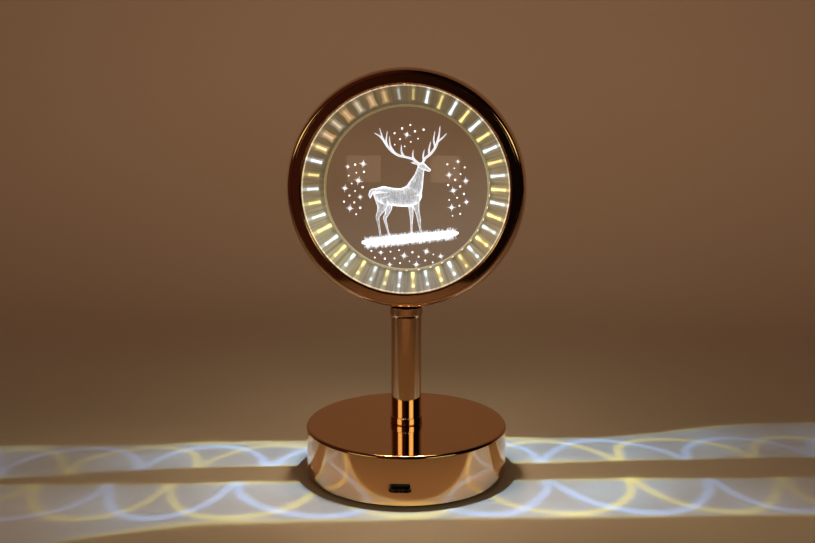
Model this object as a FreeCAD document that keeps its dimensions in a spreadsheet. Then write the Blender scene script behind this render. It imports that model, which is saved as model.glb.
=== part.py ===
import FreeCAD, Part
import math
import os
import re

import Sketcher

# Touch lamp: a drum base with a charging port, a slim stem and a ring that holds
# a thick round glass lit from its rim. Millimetres, Z up, X to the right, the
# ring faces -Y. The origin is the middle of the foot, on the table.

doc = FreeCAD.newDocument("touch_lamp")
sheet = doc.addObject("Spreadsheet::Sheet", "Sizes")
finished = []
numbers = {}


class Size:
    """A length that carries its number and its formula over the sheet's cells."""

    def __init__(self, number, formula):
        self.number = number
        self.formula = formula

    def join(self, other, sign, number):
        other_formula = other.formula if isinstance(other, Size) else repr(other)
        return Size(number, f"({self.formula} {sign} {other_formula})")

    def __add__(self, other):
        return self.join(other, "+", self.number + plain(other))

    def __sub__(self, other):
        return self.join(other, "-", self.number - plain(other))

    def __mul__(self, other):
        return self.join(other, "*", self.number * plain(other))

    def __truediv__(self, other):
        return self.join(other, "/", self.number / plain(other))

    def __neg__(self):
        return Size(-self.number, f"(0 - {self.formula})")

    def root(self):
        return Size(math.sqrt(self.number), f"sqrt({self.formula})")


def plain(value):
    """The number of a size, or the number itself."""
    return value.number if isinstance(value, Size) else value


def size(name, number):
    """One driving dimension: a cell of the sheet, named by its alias."""
    cell = f"B{len(numbers) + 1}"
    sheet.set(f"A{len(numbers) + 1}", name)
    sheet.set(cell, str(number))
    sheet.setAlias(cell, name)
    numbers[name] = number
    return Size(number, f"Sizes.{name}")


# Driving dimensions of the base
foot_inset = size("foot_inset", 3.0)
foot_height = size("foot_height", 1.5)
cover_radius = size("cover_radius", 45.0)
cover_height = size("cover_height", 21.3)
cover_wall = size("cover_wall", 1.2)
cover_top = size("cover_top", 1.5)
cover_edge_round = size("cover_edge_round", 1.3)
port_side_margin = size("port_side_margin", 0.18)
port_end_margin = size("port_end_margin", 0.32)
port_corner = size("port_corner", 1.0)
port_level = size("port_level", 9.3)
chassis_clearance = size("chassis_clearance", 0.2)
chassis_floor = size("chassis_floor", 2.0)
chassis_rim_wall = size("chassis_rim_wall", 1.0)
chassis_rim_tall = size("chassis_rim_tall", 2.3)
ballast_rim_gap = size("ballast_rim_gap", 2.6)
ballast_thickness = size("ballast_thickness", 4.0)
ballast_clearance = size("ballast_clearance", 0.4)
post_radius = size("post_radius", 3.0)
post_inset = size("post_inset", 7.3)
post_seat_margin = size("post_seat_margin", 0.5)
post_seat_tall = size("post_seat_tall", 2.0)
screw_radius = size("screw_radius", 1.2)
screw_clearance = size("screw_clearance", 0.1)
screw_head_radius = size("screw_head_radius", 2.3)
screw_head_tall = size("screw_head_tall", 1.5)
screw_reach = size("screw_reach", 7.0)
ballast_screw_inset = size("ballast_screw_inset", 12.0)

# Driving dimensions of the stem
collar_step = size("collar_step", 0.5)
collar_tall = size("collar_tall", 3.3)
collar_blend_tall = size("collar_blend_tall", 1.0)
collar_foot_chamfer = size("collar_foot_chamfer", 0.5)
collar_edge_round = size("collar_edge_round", 0.25)
spigot_tall = size("spigot_tall", 5.0)
spigot_clearance = size("spigot_clearance", 0.1)
tube_radius = size("tube_radius", 6.75)
tube_wall = size("tube_wall", 1.0)
tube_length = size("tube_length", 45.6)
rod_wall = size("rod_wall", 1.1)
rod_bore_clearance = size("rod_bore_clearance", 0.2)
rod_clearance = size("rod_clearance", 0.2)
rod_flange_reach = size("rod_flange_reach", 1.5)
rod_flange_tall = size("rod_flange_tall", 1.2)
rod_flange_room = size("rod_flange_room", 0.4)
rod_tail = size("rod_tail", 1.8)
nut_wall = size("nut_wall", 2.0)
nut_tall = size("nut_tall", 5.0)
lock_washer_margin = size("lock_washer_margin", 0.5)
lock_washer_tall = size("lock_washer_tall", 1.0)
backing_washer_radius = size("backing_washer_radius", 12.0)
backing_washer_tall = size("backing_washer_tall", 1.5)

# Driving dimensions of the head
ring_radius = size("ring_radius", 52.0)
ring_depth = size("ring_depth", 20.0)
ring_crown_radius = size("ring_crown_radius", 25.0)
ring_edge_round = size("ring_edge_round", 1.6)
ring_seat_flat = size("ring_seat_flat", 0.2)
ring_wall = size("ring_wall", 3.4)
window_overlap = size("window_overlap", 1.6)
rear_lip_overlap = size("rear_lip_overlap", 0.8)
lip_thickness = size("lip_thickness", 1.7)
lip_round = size("lip_round", 0.9)
fit_clearance = size("fit_clearance", 0.1)
glass_led_gap = size("glass_led_gap", 0.68)
glass_bevel_width = size("glass_bevel_width", 10.0)
glass_bevel_depth = size("glass_bevel_depth", 11.0)
glass_front_chamfer = size("glass_front_chamfer", 0.5)
seal_width = size("seal_width", 0.6)
seal_thickness = size("seal_thickness", 0.3)
carrier_wall = size("carrier_wall", 0.6)
carrier_lead_clearance = size("carrier_lead_clearance", 0.5)
strip_thickness = size("strip_thickness", 0.3)
strip_width = size("strip_width", 6.0)
strip_step_clearance = size("strip_step_clearance", 0.3)
strip_lead_clearance = size("strip_lead_clearance", 0.3)
led_width = size("led_width", 1.6)
led_length = size("led_length", 3.0)
led_tall = size("led_tall", 0.8)
solder_gap = size("solder_gap", 0.02)
resistor_width = size("resistor_width", 0.8)
resistor_length = size("resistor_length", 1.6)
resistor_tall = size("resistor_tall", 0.5)

# Driving dimensions of the engraving
engraving_unit = size("engraving_unit", 1.0)
star_field_radius = size("star_field_radius", 34.0)
star_reach = size("star_reach", 1.3)
dot_reach = size("dot_reach", 0.5)
star_thickness = size("star_thickness", 0.5)

# Driving dimensions of the electronics
board_front_clearance = size("board_front_clearance", 1.5)
board_half_width = size("board_half_width", 15.0)
board_back = size("board_back", 13.5)
board_thickness = size("board_thickness", 1.6)
board_post_radius = size("board_post_radius", 2.2)
board_post_side = size("board_post_side", 12.0)
board_post_inset = size("board_post_inset", 7.3)
board_post_pitch = size("board_post_pitch", 11.0)
board_screw_radius = size("board_screw_radius", 0.9)
board_head_radius = size("board_head_radius", 1.7)
board_head_tall = size("board_head_tall", 1.2)
board_screw_reach = size("board_screw_reach", 2.2)
board_bay_margin = size("board_bay_margin", 1.5)
usb_width = size("usb_width", 8.94)
usb_tall = size("usb_tall", 3.26)
usb_length = size("usb_length", 7.35)
usb_corner = size("usb_corner", 1.1)
usb_wall = size("usb_wall", 0.3)
usb_front_clearance = size("usb_front_clearance", 0.6)
tongue_width = size("tongue_width", 6.7)
tongue_thickness = size("tongue_thickness", 0.7)
tongue_setback = size("tongue_setback", 0.9)
tongue_root = size("tongue_root", 1.6)
chip_length = size("chip_length", 4.9)
chip_width = size("chip_width", 3.9)
chip_tall = size("chip_tall", 1.5)
inductor_side = size("inductor_side", 4.5)
inductor_tall = size("inductor_tall", 2.6)
transistor_length = size("transistor_length", 2.9)
transistor_width = size("transistor_width", 1.3)
transistor_tall = size("transistor_tall", 1.0)
capacitor_length = size("capacitor_length", 2.0)
capacitor_width = size("capacitor_width", 1.25)
capacitor_tall = size("capacitor_tall", 1.0)
capacitor_spacing = size("capacitor_spacing", 1.8)
contact_thickness = size("contact_thickness", 0.3)
contact_width = size("contact_width", 4.0)
contact_reach = size("contact_reach", 3.6)
battery_front = size("battery_front", 10.0)
battery_rear_margin = size("battery_rear_margin", 5.0)
battery_side_room = size("battery_side_room", 8.6)
battery_thickness = size("battery_thickness", 8.0)
battery_corner = size("battery_corner", 2.0)
battery_pad_thickness = size("battery_pad_thickness", 0.8)
battery_pad_margin = size("battery_pad_margin", 3.0)
lead_radius = size("lead_radius", 0.5)
lead_bend = size("lead_bend", 3.0)
lead_spacing = size("lead_spacing", 1.2)
lead_exit_clearance = size("lead_exit_clearance", 0.1)
battery_lead_room = size("battery_lead_room", 4.8)
battery_lead_reach = size("battery_lead_reach", 7.5)
battery_lead_spread = size("battery_lead_spread", 2.4)
socket_length = size("socket_length", 4.0)
socket_tall = size("socket_tall", 3.9)
led_socket_width = size("led_socket_width", 7.0)
battery_socket_width = size("battery_socket_width", 5.0)
battery_socket_side = size("battery_socket_side", 8.5)
plug_length = size("plug_length", 3.0)
plug_margin = size("plug_margin", 0.4)

doc.recompute()

# What follows from the driving dimensions in the base, from the table upwards
foot_radius = cover_radius - foot_inset
chassis_top = foot_height + chassis_floor
ballast_top = chassis_top + ballast_thickness
base_top = foot_height + cover_height
cover_underside = base_top - cover_top
cover_inside = cover_radius - cover_wall
chassis_radius = cover_inside - chassis_clearance
ballast_radius = chassis_radius - chassis_rim_wall - ballast_rim_gap
ballast_screw_place = ballast_radius - ballast_screw_inset
post_circle = cover_inside - post_inset
post_seat_radius = post_radius + post_seat_margin
board_top = port_level - usb_tall / 2
board_bottom = board_top - board_thickness
board_radius = cover_inside - board_front_clearance
board_post_front = board_radius - board_post_inset
board_post_back = board_post_front - board_post_pitch
board_middle = (board_post_front + board_post_back) / 2
usb_setback = cover_inside - usb_front_clearance
port_width = usb_width + port_side_margin * 2
port_tall = usb_tall + port_end_margin * 2
lead_level = board_top + socket_tall / 2
battery_bottom = ballast_top + battery_pad_thickness
post_side = post_circle * round(math.cos(math.radians(30)), 9)
battery_half_length = post_side - post_radius - battery_side_room
battery_rear = ballast_radius - battery_rear_margin

# In the head, from the ring's outside inwards
half_depth = ring_depth / 2
crown_reach = (ring_crown_radius * ring_crown_radius - half_depth * half_depth).root()
crown_end = ring_radius - ring_crown_radius + crown_reach
lip_back = half_depth - lip_thickness
cavity_radius = ring_radius - ring_wall
carrier_outside = cavity_radius - fit_clearance
carrier_inside = carrier_outside - carrier_wall
strip_outside = carrier_inside - fit_clearance
strip_inside = strip_outside - strip_thickness
led_face = strip_inside - solder_gap - led_tall
glass_radius = led_face - glass_led_gap
glass_front = lip_back - seal_thickness
window_radius = glass_radius - window_overlap
rear_window_radius = glass_radius - glass_bevel_width - rear_lip_overlap
strip_forward = glass_bevel_depth - glass_front - led_length / 2
carrier_step = strip_forward + strip_width / 2 + strip_step_clearance

# In the stem and the hollow rod through it
rod_bore_radius = lead_spacing + lead_radius + rod_bore_clearance
rod_radius = rod_bore_radius + rod_wall
rod_hole_radius = rod_radius + rod_clearance
rod_flange_radius = rod_radius + rod_flange_reach
rod_flange_pocket = rod_flange_tall + rod_flange_room
nut_across_flats = (rod_radius + nut_wall) * 2
lock_washer_radius = nut_across_flats / 2 + lock_washer_margin
washer_bottom = cover_underside - backing_washer_tall
lock_washer_bottom = washer_bottom - lock_washer_tall
nut_bottom = lock_washer_bottom - nut_tall
rod_bottom = nut_bottom - rod_tail
collar_radius = tube_radius + collar_step
tube_bottom = base_top + collar_tall
tube_top = tube_bottom + tube_length
stem_top = tube_top + collar_blend_tall + collar_tall
ring_level = stem_top + ring_radius - ring_seat_flat
flange_seat = ring_level - cavity_radius - rod_flange_pocket

led_count = 42
capacitor_count = 5
star_tries = 300
star_depth_swing = 1.5
golden_turn = math.pi * (3 - math.sqrt(5))

# Where stars may stand, in drawing units from the middle of the glass
side_sky_start = 17.5
side_sky_low = -12.0
side_sky_high = 13.0
side_sky_reach = 27.5
crown_sky_middle = 1.0
crown_sky_half = 7.5
crown_sky_low = 18.5
crown_sky_high = 28.0
low_sky_top = -25.5
low_sky_half = 18.0
low_sky_start = 26.0

# The engraved figure, in drawing units from the middle of the glass. Each limb has a name, its
# thickness, its level behind the middle, and a route of points (x, z, half width).
stag_limbs = [
    ("torso", 4.2, 0.0, [(-13.2, -1.5, 2.2), (-10.4, -2.1, 3.7), (-6.4, -2.9, 3.8), (-2.2, -3.3, 4.0),
                         (1.6, -2.7, 4.5), (4.6, -1.5, 3.6), (6.0, -0.8, 2.0)]),
    ("neck", 3.0, 0.0, [(3.0, -1.2, 4.0), (4.4, 2.4, 3.1), (5.6, 5.8, 2.1), (6.3, 8.8, 1.6), (6.6, 10.4, 1.3)]),
    ("skull", 2.4, 0.0, [(5.5, 10.5, 1.2), (7.2, 10.1, 1.5), (8.8, 9.2, 1.0), (10.4, 8.3, 0.7)]),
    ("ear", 0.8, -0.8, [(5.6, 10.8, 0.4), (4.2, 11.5, 0.6), (2.2, 11.7, 0.15)]),
    ("near_foreleg", 2.0, -1.2, [(3.9, -2.6, 2.5), (4.5, -7.0, 1.35), (5.3, -10.8, 0.85), (5.7, -12.6, 0.85),
                                 (6.1, -16.0, 0.5), (6.6, -18.4, 0.5), (7.1, -20.6, 0.7)]),
    ("far_foreleg", 1.8, 1.2, [(1.8, -4.0, 2.0), (2.2, -8.2, 1.1), (2.4, -12.0, 0.75), (2.4, -16.0, 0.45),
                               (2.5, -18.8, 0.5), (3.0, -21.0, 0.65)]),
    ("near_hindleg", 2.2, -1.2, [(-10.6, -1.6, 3.6), (-10.2, -6.4, 2.5), (-11.2, -9.6, 1.35), (-12.2, -11.8, 0.9),
                                 (-11.7, -15.2, 0.55), (-11.2, -19.0, 0.5), (-10.6, -22.2, 0.7)]),
    ("far_hindleg", 2.0, 1.2, [(-8.6, -3.4, 2.8), (-7.6, -7.6, 1.7), (-8.4, -10.8, 0.95), (-9.2, -12.4, 0.8),
                               (-8.4, -16.0, 0.5), (-7.6, -19.0, 0.45), (-7.0, -21.8, 0.65)]),
    ("tail", 1.4, 0.0, [(-13.0, 0.0, 0.7), (-14.8, -0.8, 0.95), (-15.5, -2.6, 0.7), (-15.4, -3.8, 0.2)]),
]
antler_limbs = [
    ("rear_beam", 0.8, -0.8, [(6.0, 10.8, 0.42), (3.4, 13.0, 0.5), (0.2, 14.0, 0.48), (-3.6, 15.0, 0.5),
                              (-7.0, 17.6, 0.5), (-9.6, 21.4, 0.42), (-11.2, 26.2, 0.12)]),
    ("rear_brow_tine", 0.7, -0.8, [(3.9, 12.6, 0.4), (3.0, 14.4, 0.36), (3.2, 17.0, 0.1)]),
    ("rear_second_tine", 0.7, -0.8, [(-0.6, 14.1, 0.4), (-1.8, 16.2, 0.36), (-1.9, 19.2, 0.1)]),
    ("rear_third_tine", 0.7, -0.8, [(-4.4, 15.4, 0.4), (-6.6, 18.8, 0.34), (-7.0, 22.8, 0.1)]),
    ("rear_fourth_tine", 0.7, -0.8, [(-7.8, 18.6, 0.4), (-8.4, 20.9, 0.34), (-7.9, 25.0, 0.1)]),
    ("rear_top_tine", 0.7, -0.8, [(-9.4, 20.9, 0.36), (-11.2, 22.9, 0.3), (-13.4, 24.2, 0.1)]),
    ("front_beam", 0.8, 0.8, [(6.8, 10.9, 0.42), (8.4, 13.6, 0.5), (10.8, 15.6, 0.5), (12.8, 18.6, 0.48),
                              (14.0, 22.6, 0.4), (14.6, 27.2, 0.12)]),
    ("front_brow_tine", 0.7, 0.8, [(7.7, 12.5, 0.38), (7.4, 14.4, 0.34), (7.9, 17.2, 0.1)]),
    ("front_second_tine", 0.7, 0.8, [(10.0, 14.9, 0.4), (9.9, 17.2, 0.36), (10.6, 20.6, 0.1)]),
    ("front_third_tine", 0.7, 0.8, [(12.6, 18.2, 0.38), (11.9, 21.2, 0.32), (12.4, 25.0, 0.1)]),
    ("front_top_tine", 0.7, 0.8, [(13.4, 20.4, 0.36), (15.4, 22.0, 0.3), (17.4, 24.0, 0.1)]),
]
snow_bank = ("snow_bank", 4.4, 0.0, [(-19.2, -23.6, 0.4), (-14.0, -22.6, 1.5), (-6.0, -21.9, 1.9),
                                     (4.0, -20.9, 1.9), (13.0, -19.9, 1.7), (19.6, -19.0, 1.2), (23.2, -18.6, 0.3)])


def bind(item, name, value):
    """Ties one property to the sheet, or sets it when it is a bare number."""
    if isinstance(value, Size):
        item.setExpression(name, value.formula)
    else:
        item.setExpression(name, repr(float(value)))


def place(item, x, y, z):
    bind(item, "Placement.Base.x", x)
    bind(item, "Placement.Base.y", y)
    bind(item, "Placement.Base.z", z)
    return item


def cylinder(name, radius, height, x=0, y=0, z=0):
    item = doc.addObject("Part::Cylinder", name)
    bind(item, "Radius", radius)
    bind(item, "Height", height)
    return place(item, x, y, z)


def box(name, length, width, height, x, y, z):
    """A block whose lowest corner in X, Y and Z is the given point."""
    item = doc.addObject("Part::Box", name)
    bind(item, "Length", length)
    bind(item, "Width", width)
    bind(item, "Height", height)
    return place(item, x, y, z)


def join(name, parts):
    item = doc.addObject("Part::MultiFuse", name)
    item.Shapes = parts
    item.Refine = True
    return item


def cut(name, base, tools):
    tool = tools[0]
    if len(tools) > 1:
        tool = doc.addObject("Part::Compound", f"{name}_tools")
        tool.Links = tools
    item = doc.addObject("Part::Cut", name)
    item.Base = base
    item.Tool = tool
    return item


def group(name, parts):
    """Several alike solids that share one node."""
    item = doc.addObject("Part::Compound", name)
    item.Links = parts
    return item


def finish(label, item):
    """Names a sub-part and puts it on the list of files to write."""
    item.Label = label
    finished.append(item)
    return item


def origin_plane(body, role):
    for feature in body.Origin.OriginFeatures:
        if feature.Role == role:
            return feature
    raise ValueError(role)


def draw(body, plane, outline):
    """A closed sketch. Each entry is a corner, or an arc's end with its radius and a point it passes."""
    sketch = body.newObject("Sketcher::SketchObject", f"{body.Name}_outline")
    sketch.AttachmentSupport = [(origin_plane(body, plane), "")]
    sketch.MapMode = "FlatFace"
    corners = []
    for entry in outline:
        corners.append(FreeCAD.Vector(plain(entry[0]), plain(entry[1]), 0))
    for index, entry in enumerate(outline):
        start = corners[index - 1]
        end = corners[index]
        if len(entry) > 2:
            middle = FreeCAD.Vector(plain(entry[3][0]), plain(entry[3][1]), 0)
            sketch.addGeometry(Part.Arc(start, middle, end), False)
        else:
            sketch.addGeometry(Part.LineSegment(start, end), False)
    for index, entry in enumerate(outline):
        following = (index + 1) % len(outline)
        end_here = end_number(sketch, index, corners[index])
        start_next = end_number(sketch, following, corners[index])
        sketch.addConstraint(Sketcher.Constraint("Coincident", index, end_here, following, start_next))
        for axis, value in (("X", entry[0]), ("Y", entry[1])):
            kind = f"Distance{axis}"
            spot = sketch.addConstraint(Sketcher.Constraint(kind, -1, 1, index, end_here, plain(value)))
            bind_constraint(sketch, spot, f"corner_{axis.lower()}_{index}", value)
        if len(entry) > 2:
            spot = sketch.addConstraint(Sketcher.Constraint("Radius", index, plain(entry[2])))
            bind_constraint(sketch, spot, f"arc_{index}", entry[2])
    return sketch


def end_number(sketch, index, corner):
    """1 where the edge's own start lies at the corner, 2 where its end does."""
    edge = sketch.Geometry[index]
    near_start = edge.StartPoint.distanceToPoint(corner) < edge.EndPoint.distanceToPoint(corner)
    return 1 if near_start else 2


def bind_constraint(sketch, spot, name, value):
    sketch.renameConstraint(spot, name)
    bind(sketch, f"Constraints.{name}", value)


def turned(name, outline, plane="XZ_Plane"):
    """A body turned about Z from the XZ plane, or about Y from the XY plane."""
    body = doc.addObject("PartDesign::Body", name)
    sketch = draw(body, plane, outline)
    turn = body.newObject("PartDesign::Revolution", f"{name}_turn")
    turn.Profile = sketch
    turn.ReferenceAxis = (sketch, ["V_Axis"])
    turn.Angle = 360
    body.Tip = turn
    doc.recompute()
    return body


def padded(name, outline, plane, length, centred=False):
    """A body with the outline's section, square to its plane."""
    body = doc.addObject("PartDesign::Body", name)
    sketch = draw(body, plane, outline)
    pad = body.newObject("PartDesign::Pad", f"{name}_pad")
    pad.Profile = sketch
    pad.SideType = "Symmetric" if centred else "One side"
    bind(pad, "Length", length)
    body.Tip = pad
    doc.recompute()
    return body


def rounded(body, radius, chosen, name="round"):
    """Rounds the edges of the body's last feature that pass the test."""
    base = body.Tip
    names = []
    for number, edge in enumerate(base.Shape.Edges, start=1):
        if chosen(edge):
            names.append(f"Edge{number}")
    fillet = body.newObject("PartDesign::Fillet", f"{body.Name}_{name}")
    fillet.Base = (base, names)
    bind(fillet, "Radius", radius)
    body.Tip = fillet
    doc.recompute()
    return body


def circle_at(radius, axis, level):
    """A test for whole circles of one radius at one place along an axis."""
    def test(edge):
        if not isinstance(edge.Curve, Part.Circle):
            return False
        same_radius = abs(edge.Curve.Radius - plain(radius)) < 0.001
        return same_radius and abs(getattr(edge.Curve.Center, axis) - plain(level)) < 0.001
    return test


def along(axis):
    """A test for straight edges that run along an axis."""
    def test(edge):
        if not isinstance(edge.Curve, Part.Line):
            return False
        return abs(abs(getattr(edge.tangentAt(edge.FirstParameter), axis)) - 1) < 0.001
    return test


def rectangle(left, low, right, high):
    return [(left, low), (right, low), (right, high), (left, high)]


def band(inner, outer, low, high):
    return rectangle(inner, low, outer, high)


def rim_box(name, width, length, tall, face_radius, forward, turn):
    """A block standing on the head's rim: width round the rim, length along Y, tall towards the axis."""
    item = doc.addObject("Part::Box", name)
    bind(item, "Length", width)
    bind(item, "Width", length)
    bind(item, "Height", tall)
    item.Placement.Rotation = FreeCAD.Rotation(FreeCAD.Vector(0, 1, 0), turn)
    sine = round(math.sin(math.radians(turn)), 9)
    cosine = round(math.cos(math.radians(turn)), 9)
    outer = face_radius + tall
    x = -(width / 2 * cosine) - outer * sine
    z = ring_level + width / 2 * sine - outer * cosine
    return place(item, x, -forward - length / 2, z)


def rounded_route(points, bend):
    """Straight runs joined by tangent arcs of one radius."""
    edges = []
    last = points[0]
    for before, corner, after in zip(points, points[1:], points[2:]):
        back = (before - corner).normalize()
        ahead = (after - corner).normalize()
        half_turn = (math.pi - back.getAngle(ahead)) / 2
        reach = bend * math.tan(half_turn)
        start = corner + back * reach
        end = corner + ahead * reach
        centre = corner + (back + ahead).normalize() * (bend / math.cos(half_turn))
        middle = centre + (corner - centre).normalize() * bend
        if (start - last).Length > 0.001:
            edges.append(Part.LineSegment(last, start).toShape())
        edges.append(Part.Arc(start, middle, end).toShape())
        last = end
    edges.append(Part.LineSegment(last, points[-1]).toShape())
    return Part.Wire(edges)


def lead(label, points):
    """An insulated wire along a route of sizes."""
    corners = [FreeCAD.Vector(*[plain(value) for value in point]) for point in points]
    route = rounded_route(corners, lead_bend.number)
    section = Part.Circle(corners[0], corners[1] - corners[0], lead_radius.number).toShape()
    shape = route.makePipeShell([Part.Wire(section)], True, False)
    expected = math.pi * lead_radius.number ** 2 * route.Length
    if abs(shape.Volume - expected) > 0.01 * expected:
        raise ValueError(f"{label} volume {shape.Volume:.2f}, expected {expected:.2f}")
    print(f"{label}: {route.Length:.1f} mm long")
    item = doc.addObject("Part::Feature", label)
    item.Shape = shape
    return finish(label, item)


def post_places():
    """The posts stand 30 degrees before and behind the X axis, on both sides."""
    places = []
    for x in (post_side, -post_side):
        places.append((x, post_circle / 2))
        places.append((x, -post_circle / 2))
    return places


def ballast_screw_places():
    return (ballast_screw_place, -ballast_screw_place)


def board_post_places():
    places = []
    for y in (-board_post_front, -board_post_back):
        places.append((board_post_side, y))
        places.append((-board_post_side, y))
    return places


def foot_pad():
    """Soft disc under the base, the only piece that touches the table."""
    finish("foot_pad", cylinder("foot_pad", foot_radius, foot_height))


def base_cover():
    """Plated drum: top, wall and the port's opening in its front."""
    outline = [
        (rod_hole_radius, cover_underside),
        (cover_inside, cover_underside),
        (cover_inside, foot_height),
        (cover_radius, foot_height),
        (cover_radius, base_top),
        (rod_hole_radius, base_top),
    ]
    drum = turned("cover_drum", outline)
    rounded(drum, cover_edge_round, circle_at(cover_radius, "z", base_top))
    side = port_width / 2
    half_tall = port_tall / 2
    outline = rectangle(-side, port_level - half_tall, side, port_level + half_tall)
    opening = padded("port_opening", outline, "XZ_Plane", cover_wall * 4, True)
    rounded(opening, port_corner, along("y"))
    place(opening, 0, -cover_radius, 0)
    finish("base_cover", cut("base_cover", drum, [opening]))


def cover_posts():
    """Threaded posts under the cover's top that take the screws of the chassis."""
    bottom = chassis_top + post_seat_tall
    tall = cover_underside - bottom
    thread = screw_radius + screw_clearance
    posts = []
    for number, (x, y) in enumerate(post_places()):
        bar = cylinder(f"post_{number}", post_radius, tall, x, y, bottom)
        hole = cylinder(f"post_hole_{number}", thread, screw_reach, x, y, bottom)
        posts.append(cut(f"post_tapped_{number}", bar, [hole]))
    finish("cover_posts", group("cover_posts", posts))


def base_chassis():
    """Moulded floor that closes the drum and carries the ballast and the board."""
    parts = [cylinder("chassis_disc", chassis_radius, chassis_floor, 0, 0, foot_height)]
    rim_inside = chassis_radius - chassis_rim_wall
    rim_top = chassis_top + chassis_rim_tall
    parts.append(turned("chassis_rim", band(rim_inside, chassis_radius, chassis_top, rim_top)))
    hole = screw_radius + screw_clearance
    pocket = screw_head_radius + screw_clearance
    pocket_deep = screw_head_tall + screw_clearance
    through = chassis_floor + post_seat_tall
    holes = []
    for number, (x, y) in enumerate(post_places()):
        parts.append(cylinder(f"post_seat_{number}", post_seat_radius, post_seat_tall, x, y, chassis_top))
        holes.append(cylinder(f"seat_hole_{number}", hole, through, x, y, foot_height))
        holes.append(cylinder(f"head_pocket_{number}", pocket, pocket_deep, x, y, foot_height))
    post_tall = board_bottom - chassis_top
    thread = board_screw_radius + screw_clearance
    thread_bottom = board_bottom - board_screw_reach
    for number, (x, y) in enumerate(board_post_places()):
        parts.append(cylinder(f"board_post_{number}", board_post_radius, post_tall, x, y, chassis_top))
        holes.append(cylinder(f"board_post_hole_{number}", thread, board_screw_reach, x, y, thread_bottom))
    for number, x in enumerate(ballast_screw_places()):
        holes.append(cylinder(f"ballast_pilot_{number}", hole, chassis_floor, x, 0, foot_height))
    finish("base_chassis", cut("base_chassis", join("chassis_body", parts), holes))


def chassis_screws():
    """Four screws, heads flush with the underside of the chassis and hidden by the foot pad."""
    reach = chassis_floor + post_seat_tall + screw_reach - screw_clearance
    screws = []
    for number, (x, y) in enumerate(post_places()):
        head = cylinder(f"screw_head_{number}", screw_head_radius, screw_head_tall, x, y, foot_height)
        shank = cylinder(f"screw_shank_{number}", screw_radius, reach, x, y, foot_height)
        screws.append(join(f"chassis_screw_{number}", [head, shank]))
    finish("chassis_screws", group("chassis_screws", screws))


def ballast_plate():
    """Steel plate that keeps the lamp upright, with a bay for the board and holes for the seats."""
    disc = cylinder("ballast_disc", ballast_radius, ballast_thickness, 0, 0, chassis_top)
    bay_half = board_half_width + board_bay_margin
    tools = [box("board_bay", bay_half * 2, ballast_radius, ballast_thickness, -bay_half,
                 -ballast_radius - board_back + board_bay_margin, chassis_top)]
    room = post_seat_radius + ballast_clearance
    for number, (x, y) in enumerate(post_places()):
        tools.append(cylinder(f"seat_room_{number}", room, ballast_thickness, x, y, chassis_top))
    hole = screw_radius + screw_clearance
    for number, x in enumerate(ballast_screw_places()):
        tools.append(cylinder(f"ballast_hole_{number}", hole, ballast_thickness, x, 0, chassis_top))
    finish("ballast_plate", cut("ballast_plate", disc, tools))


def ballast_screws():
    """Two screws that hold the ballast down on the chassis."""
    reach = ballast_thickness + chassis_floor - screw_clearance
    screws = []
    for number, x in enumerate(ballast_screw_places()):
        head = cylinder(f"ballast_head_{number}", screw_head_radius, screw_head_tall, x, 0, ballast_top)
        shank = cylinder(f"ballast_shank_{number}", screw_radius, reach, x, 0, ballast_top - reach)
        screws.append(join(f"ballast_screw_{number}", [head, shank]))
    finish("ballast_screws", group("ballast_screws", screws))


def main_board():
    """Circuit board whose front follows the drum's wall."""
    side_y = -(board_radius * board_radius - board_half_width * board_half_width).root()
    outline = [
        (-board_half_width, side_y),
        (board_half_width, side_y, board_radius, (0, -board_radius)),
        (board_half_width, -board_back),
        (-board_half_width, -board_back),
    ]
    plate = padded("board_plate", outline, "XY_Plane", board_thickness)
    place(plate, 0, 0, board_bottom)
    radius = board_screw_radius + screw_clearance
    holes = []
    for number, (x, y) in enumerate(board_post_places()):
        holes.append(cylinder(f"board_hole_{number}", radius, board_thickness, x, y, board_bottom))
    finish("main_board", cut("main_board", plate, holes))


def board_screws():
    """Four small screws that hold the board on its posts."""
    reach = board_thickness + board_screw_reach - screw_clearance
    screws = []
    for number, (x, y) in enumerate(board_post_places()):
        head = cylinder(f"board_head_{number}", board_head_radius, board_head_tall, x, y, board_top)
        shank = cylinder(f"board_screw_shank_{number}", board_screw_radius, reach, x, y, board_top - reach)
        screws.append(join(f"board_screw_{number}", [head, shank]))
    finish("board_screws", group("board_screws", screws))


def usb_socket():
    """Charging socket: a folded steel shell and the plastic tongue in it."""
    half_wide = usb_width / 2
    half_tall = usb_tall / 2
    outline = rectangle(-half_wide, -half_tall, half_wide, half_tall)
    outside = padded("usb_outside", outline, "XZ_Plane", usb_length, True)
    rounded(outside, usb_corner, along("y"))
    place(outside, 0, usb_length / 2 - usb_setback, port_level)
    room_wide = half_wide - usb_wall
    room_tall = half_tall - usb_wall
    outline = rectangle(-room_wide, -room_tall, room_wide, room_tall)
    room = padded("usb_room", outline, "XZ_Plane", usb_length, True)
    rounded(room, usb_corner - usb_wall, along("y"))
    place(room, 0, usb_length / 2 - usb_setback - usb_wall, port_level)
    finish("usb_shell", cut("usb_shell", outside, [room]))

    back = usb_length - usb_wall - usb_setback
    root_wide = room_wide - usb_corner
    low = port_level - room_tall
    front = back - tongue_root
    root = box("tongue_root_block", root_wide * 2, tongue_root, room_tall * 2, -root_wide, front, low)
    reach = usb_length - usb_wall - tongue_setback
    low = port_level - tongue_thickness / 2
    blade = box("tongue_blade", tongue_width, reach, tongue_thickness, -tongue_width / 2, back - reach, low)
    finish("usb_tongue", join("usb_tongue", [root, blade]))


def on_board(name, length, width, tall, x, y):
    """A block standing on the board, its middle over the given point."""
    return box(name, length, width, tall, x - length / 2, y - width / 2, board_top)


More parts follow.
